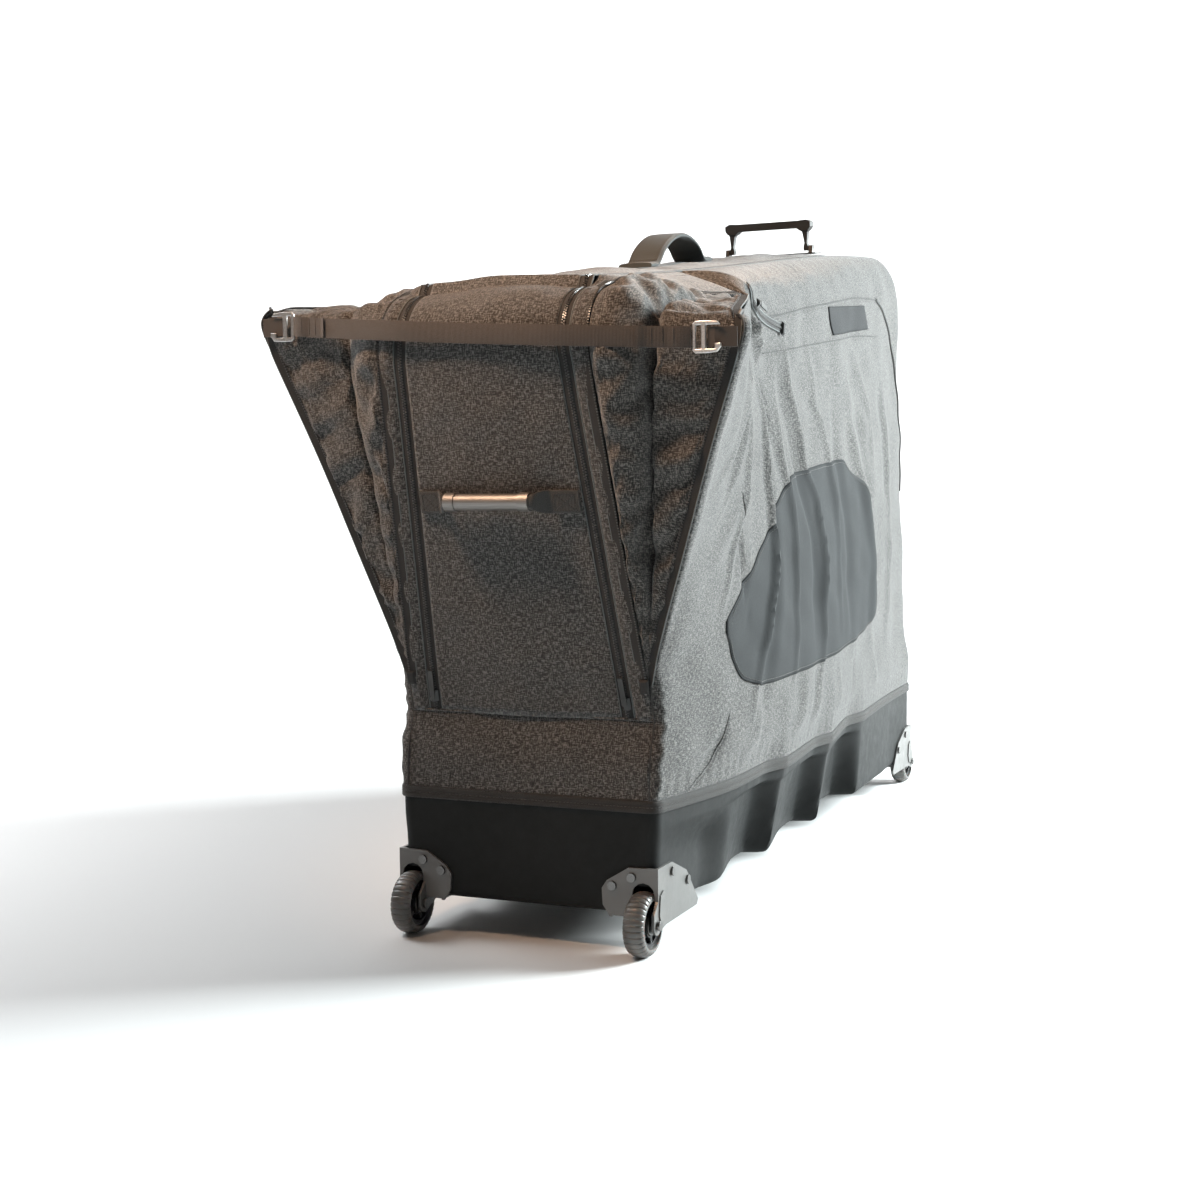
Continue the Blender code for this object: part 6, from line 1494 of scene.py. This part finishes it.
for side, side_name in SIDES:
    for seam_name, (radius, material, points) in SEAMS.items():
        s, z = softened(resampled(np.array(points), 80), 6).T
        line, out = on_side(side, s, z, 0.0002)
        swing(drawn(f"seam_{seam_name}_{side_name}", material, line,
                    unit(np.cross(out, heading(line))), out,
                    round_profile(radius)), side_name, "fabric")
        line, out = on_side(side, s, z - 0.0042, 0.0001)
        swing(row_of(f"seam_{seam_name}_stitches_{side_name}", thread_dark, line, out,
                     STITCH_PITCH, (0.0031, 0.0006, 0.0004)), side_name, "fabric")
    hem = side_shape[side][:, 0]
    run = heading(hem)
    hem_out = unit(hem - side_shape[side][:, 8] + (0.0, -0.004, 0.0))
    hem_out = unit(hem_out - run * (hem_out * run).sum(axis=1, keepdims=True))
    # The corner seam's welt wears the same darkened tape, partly painted shade.
    swing(drawn("seam_corner_" + side_name, seam_dark_and_painted_shade, hem, unit(np.cross(hem_out, run)), hem_out,
                round_profile(0.0011)), side_name, "fabric")


# Near band seam
# The welt that closes the near band's top edge, with a row of topstitching under it.
welt_z = np.full(120, FOLD_Z + 0.0008)
welt_line = np.stack([np.linspace(-SEAM_X, SEAM_X, 120), NEAR_Y + band_s(welt_z) - 0.0006, welt_z],
                     axis=1)
welt_out = np.tile((0.0, -0.96, 0.28), (120, 1))
fixed(drawn("near_band_welt", cloth_grey, welt_line, np.tile((0.0, 0.28, 0.96), (120, 1)),
            welt_out, round_profile(0.0016)), "base", "fabric")
fixed(row_of("near_band_stitches", thread_dark, welt_line + (0.0, -0.0016, -0.0050), welt_out,
             STITCH_PITCH, (0.0031, 0.0006, 0.0005)), "base", "fabric")


# Side label patches
# A flat rectangle of darker cloth sewn on the upper far part of each side. It is bare.
patch_cloth = smooth_cloth("patch_cloth", (0.016, 0.017, 0.018), (0.026, 0.027, 0.028),
                           (0.036, 0.037, 0.039))
patch_corners = np.array(((0.622, 0.735), (0.842, 0.755), (0.862, 0.722), (0.645, 0.698)))
u, v = np.meshgrid(np.linspace(0.0, 1.0, 40), np.linspace(0.0, 1.0, 10))
u, v = u[..., None], v[..., None]
flat = (patch_corners[3] * (1 - u) + patch_corners[2] * u) * (1 - v) \
    + (patch_corners[0] * (1 - u) + patch_corners[1] * u) * v
for side, side_name in SIDES:
    points, out = on_side(side, flat[..., 0], flat[..., 1], 0.0014)
    patch = sheet("side_label_patch_" + side_name, points, patch_cloth)
    thicken(patch, "thickness", 0.0010)
    swing(patch, side_name, "panel")


# Strap, hooks and tabs
# Flat dark webbing pulled across the wings. Each end folds round the slot of a polished hook and
# back on itself, and the hooks catch short tabs sewn to the wings' edges.
def bar_of(name, middle, out, way, half, pitch, size):
    """A bar-tack: stitches close together along a short bar."""
    bar = middle + np.array(way) * np.linspace(-half, half, 3)[:, None]
    return row_of(name, thread_dark, bar, np.tile(out, (3, 1)), pitch, size)


HOOK_X = {1: 0.224, -1: 0.236}
STRAP_Z = {1: 0.645, -1: 0.675}
HOOK_S, STRAP_FRONT_S = -0.071, -0.1060
strap_brown = woven("strap_brown", (0.020, 0.016, 0.013), (0.062, 0.050, 0.042), 0.0014, 0.8, 0.2)
left, right = 0.0003 - HOOK_X[-1], HOOK_X[1] - 0.0003
strap_x = np.linspace(left, right, 120)
reach = clamp((np.abs(strap_x) - 0.085) / (right - 0.079))
strap_s = STRAP_FRONT_S + (HOOK_S - STRAP_FRONT_S) * reach ** 1.2
strap_z = STRAP_Z[-1] + (STRAP_Z[1] - STRAP_Z[-1]) * (strap_x - left) / (right - left)
strap_z = strap_z - 0.004 * (1.0 - ((strap_x - left) / (right - left) * 2.0 - 1.0) ** 2)
strap_line = softened(np.stack([strap_x, NEAR_Y + strap_s, strap_z], axis=1), 4)
run = heading(strap_line)
strap_across = np.tile((0.0, 0.0, 1.0), (120, 1))
strap_out = unit(np.cross(strap_across, run))
strap_out *= np.sign(-strap_out[:, 1:2])
WEB = np.array(((-10.5, -0.6), (-10, -0.8), (10, -0.8), (10.5, -0.6), (10.5, 0.6), (10, 0.8),
                (0, 0.6), (-10, 0.8), (-10.5, 0.6))) / 1000.0
fixed(drawn("strap_webbing", strap_brown, strap_line, strap_across, strap_out, WEB), "strap",
      "webbing", "end_strap")
chrome = brushed("polished_steel", (0.84, 0.83, 0.82), 0.30, (500.0, 500.0, 500.0))
for side, side_name in SIDES:
    # The end that comes back through the slot lies in front of the strap and is sewn to it.
    distance = np.linspace(0.0, 0.052 if side > 0 else 0.046, 40)
    tail_x = side * (HOOK_X[side] - 0.001 - distance)
    tail_out = unit(between(tail_x, strap_line[:, 0], strap_out))
    gap = 0.0018 + 0.0022 * np.sin(math.pi * clamp(distance / 0.022)) \
        + 0.0030 * smooth((distance - 0.040) / 0.012)
    tail = between(tail_x, strap_line[:, 0], strap_line) + tail_out * gap[:, None]
    fixed(drawn("strap_tail_" + side_name, strap_brown, tail, strap_across[:40], tail_out, WEB),
          "strap", "webbing")
    for k, spot in enumerate((12, 20, 28)):
        fixed(bar_of(f"strap_tack_{side_name}_{k}", tail[spot] + tail_out[spot] * 0.0009,
                     tail_out[spot], (0.0, 0.0, 1.0), 0.008, 0.0021, (0.0017, 0.0008, 0.0005)),
              "strap", "webbing")
    refined("g_hook_" + side_name, chrome, "strap", "chrome", 0.0010, 3)
    refined("strap_tab_" + side_name, strap_brown, "side_" + side_name, "webbing", 0.0004)


# End handle
# A brushed aluminium tube that turns on rolled webbing. The webbing's flat ends are box-stitched
# to the near panel, one longer than the other.
handle_alu = brushed("brushed_aluminium", (0.30, 0.285, 0.27), 0.50, (25.0, 1800.0, 1800.0))
refined("end_handle_tube", handle_alu, "end_handle_grip", "aluminium", 0.0006, 3)
handle_web = woven("handle_webbing", (0.016, 0.015, 0.014), (0.050, 0.047, 0.043), 0.0016, 0.85,
                   0.2)
tube_x, tube_z, half_length, tube_radius = -0.003, 0.484, 0.049, 0.0088
axis_s = lean_s(tube_z) - ROOF_CROWN - 0.009 - tube_radius
lean_up = np.array((0.0, -math.sin(NEAR_LEAN), math.cos(NEAR_LEAN)))
face_out = np.array((0.0, -math.cos(NEAR_LEAN), -math.sin(NEAR_LEAN)))


def panel_s(x):
    """Where webbing lies on the domed near panel at the tube's height."""
    return lean_s(tube_z) - ROOF_CROWN * (1.0 - (x / 0.103) ** 2) - 0.0034


def round_or_flat(wave, power, half):
    """One axis of a superellipse: |wave|^power with its sign, over a half width."""
    return np.sign(wave) * np.abs(wave) ** power * half


for side, side_name, patch, replaced in ((1, "right", 0.027, ["end_handle_webbing"]),
                                         (-1, "left", 0.021, [])):
    from_tube = half_length - 0.006 + (0.026 + patch) * np.linspace(0.0, 1.0, 50)
    stand = 1.0 - smooth((from_tube - half_length - 0.004) / 0.013)
    rolled = (1.0 - smooth((from_tube - half_length + 0.001) / 0.015))[:, None]
    x = tube_x + side * from_tube
    s = panel_s(x) + (axis_s - panel_s(x)) * stand
    line = np.stack([x, NEAR_Y + s, np.full(50, tube_z)], axis=1)
    # From a rolled tube of webbing to a flat strip: the section flattens and widens.
    angle = np.linspace(0.0, 2.0 * math.pi, 24, endpoint=False)
    power = 0.35 + 0.65 * rolled
    wide = round_or_flat(np.cos(angle), power, 0.0078 * rolled + 0.0125 * (1.0 - rolled))
    thick = round_or_flat(np.sin(angle), power, 0.0075 * rolled + 0.0014 * (1.0 - rolled))
    grid = line[:, None] + lean_up * wide[..., None] + face_out * thick[..., None]
    fixed(place("end_handle_web_" + side_name, surface("web", grid, round_about=True, capped=True),
                handle_web), "base", "webbing", *replaced)
    # A box with a cross in it.
    ends = tube_x + side * np.array((half_length + 0.020, half_length + 0.016 + patch))
    box = np.array([(ends[k], way * 0.009) for k, way in (
        (0, -1), (1, -1), (1, 1), (0, 1), (0, -1), (1, 1), (1, -1), (0, 1))])
    sewn = resampled(box, 90)
    sewn_line = np.stack([sewn[:, 0], NEAR_Y + panel_s(sewn[:, 0]), np.full(90, tube_z)], axis=1) \
        + lean_up * sewn[:, 1:2] + face_out * 0.0015
    fixed(row_of("end_handle_stitches_" + side_name, thread_dark, sewn_line,
                 np.tile(face_out, (90, 1)), 0.0032, (0.0025, 0.0006, 0.0005)), "base", "webbing")


# Carry handle
# Two layers of wide webbing, padded in between, that arch along the roof's middle line and are
# box-stitched down at both ends.
carry_web = woven("carry_webbing", (0.011, 0.014, 0.014), (0.036, 0.043, 0.043), 0.0016, 0.8, 0.15)
t = np.linspace(-0.20, 1.20, 90)
carry_s = 0.362 + 0.158 * t
arch = np.sin(math.pi * clamp(t)) ** 0.6 * 0.034
arch = np.convolve(np.pad(arch, 3, mode="edge"), np.full(7, 1.0 / 7.0), mode="valid")
carry_z = roof_z(carry_s) + ROOF_CROWN + 0.0034 + arch
carry_line = np.stack([np.zeros(90), NEAR_Y + carry_s, carry_z], axis=1)
carry_across = np.tile((1.0, 0.0, 0.0), (90, 1))
carry_out = unit(np.cross(carry_across, heading(carry_line)))
CARRY = np.array(((-22, -1.6), (-20.5, -2.8), (20.5, -2.8), (22, -1.6), (22, 0.6), (20.5, 1.9),
                  (15, 2.8), (0, 3.1), (-15, 2.8), (-20.5, 1.9), (-22, 0.6))) / 1000.0
carry = drawn("carry_handle_web", carry_web, carry_line, carry_across, carry_out, CARRY)
fixed(carry, "base", "webbing", "carry_handle")
for way, way_name in ((1.0, "right"), (-1.0, "left")):
    edge = carry_line + carry_across * way * 0.0185 + carry_out * 0.0023
    fixed(row_of("carry_handle_stitches_" + way_name, thread_dark, edge, carry_out, 0.0045,
                 (0.0034, 0.0008, 0.0006)), "base", "webbing")
for end_name, spots in (("near", (2, 12)), ("far", (77, 87))):
    for k, spot in enumerate(spots):
        fixed(bar_of(f"carry_handle_tack_{end_name}_{k}",
                     carry_line[spot] + carry_out[spot] * 0.0031, carry_out[spot],
                     (1.0, 0.0, 0.0), 0.018, 0.0034, (0.0026, 0.0009, 0.0006)), "base", "webbing")


# Bar handle
# A moulded grip with rounded ends that folds down on two pins in a base plate on the roof.
handle_rubber = moulded("handle_rubber", (0.018, 0.017, 0.016), (0.040, 0.037, 0.034), 0.42, 1100.0)
refined("bar_handle", handle_rubber, "bar_grip", "grip", 0.0022, 4)
refined("bar_handle_base", handle_rubber, "base", "grip", 0.0008)


# Floor pad
# A sheet of closed-cell foam that lies in the tub between the wheel wells.
foam = heather("floor_foam", (0.030, 0.030, 0.031), (0.045, 0.045, 0.046), (0.060, 0.060, 0.061),
               0.95, 0.1, 1.5)
pad_low, pad_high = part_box("floor_pad")
pad_x = np.linspace(-1.0, 1.0, 25)[:, None] + np.zeros(80)
pad_y = np.linspace(-1.0, 1.0, 80)[None, :] + np.zeros((25, 1))
half, middle = (pad_high - pad_low) / 2.0, (pad_high + pad_low) / 2.0
crowned = 0.0030 * (1.0 - pad_x ** 6) * (1.0 - pad_y ** 20)
top_grid = np.stack([middle.x + half.x * pad_x, middle.y + half.y * pad_y,
                     pad_high.z - 0.0030 + crowned], axis=-1)
pad = sheet("floor_pad_foam", top_grid, foam, (0.0, 0.0, -1.0))
thicken(pad, "foam", 0.0165)
fixed(pad, "base", "foam", "floor_pad")
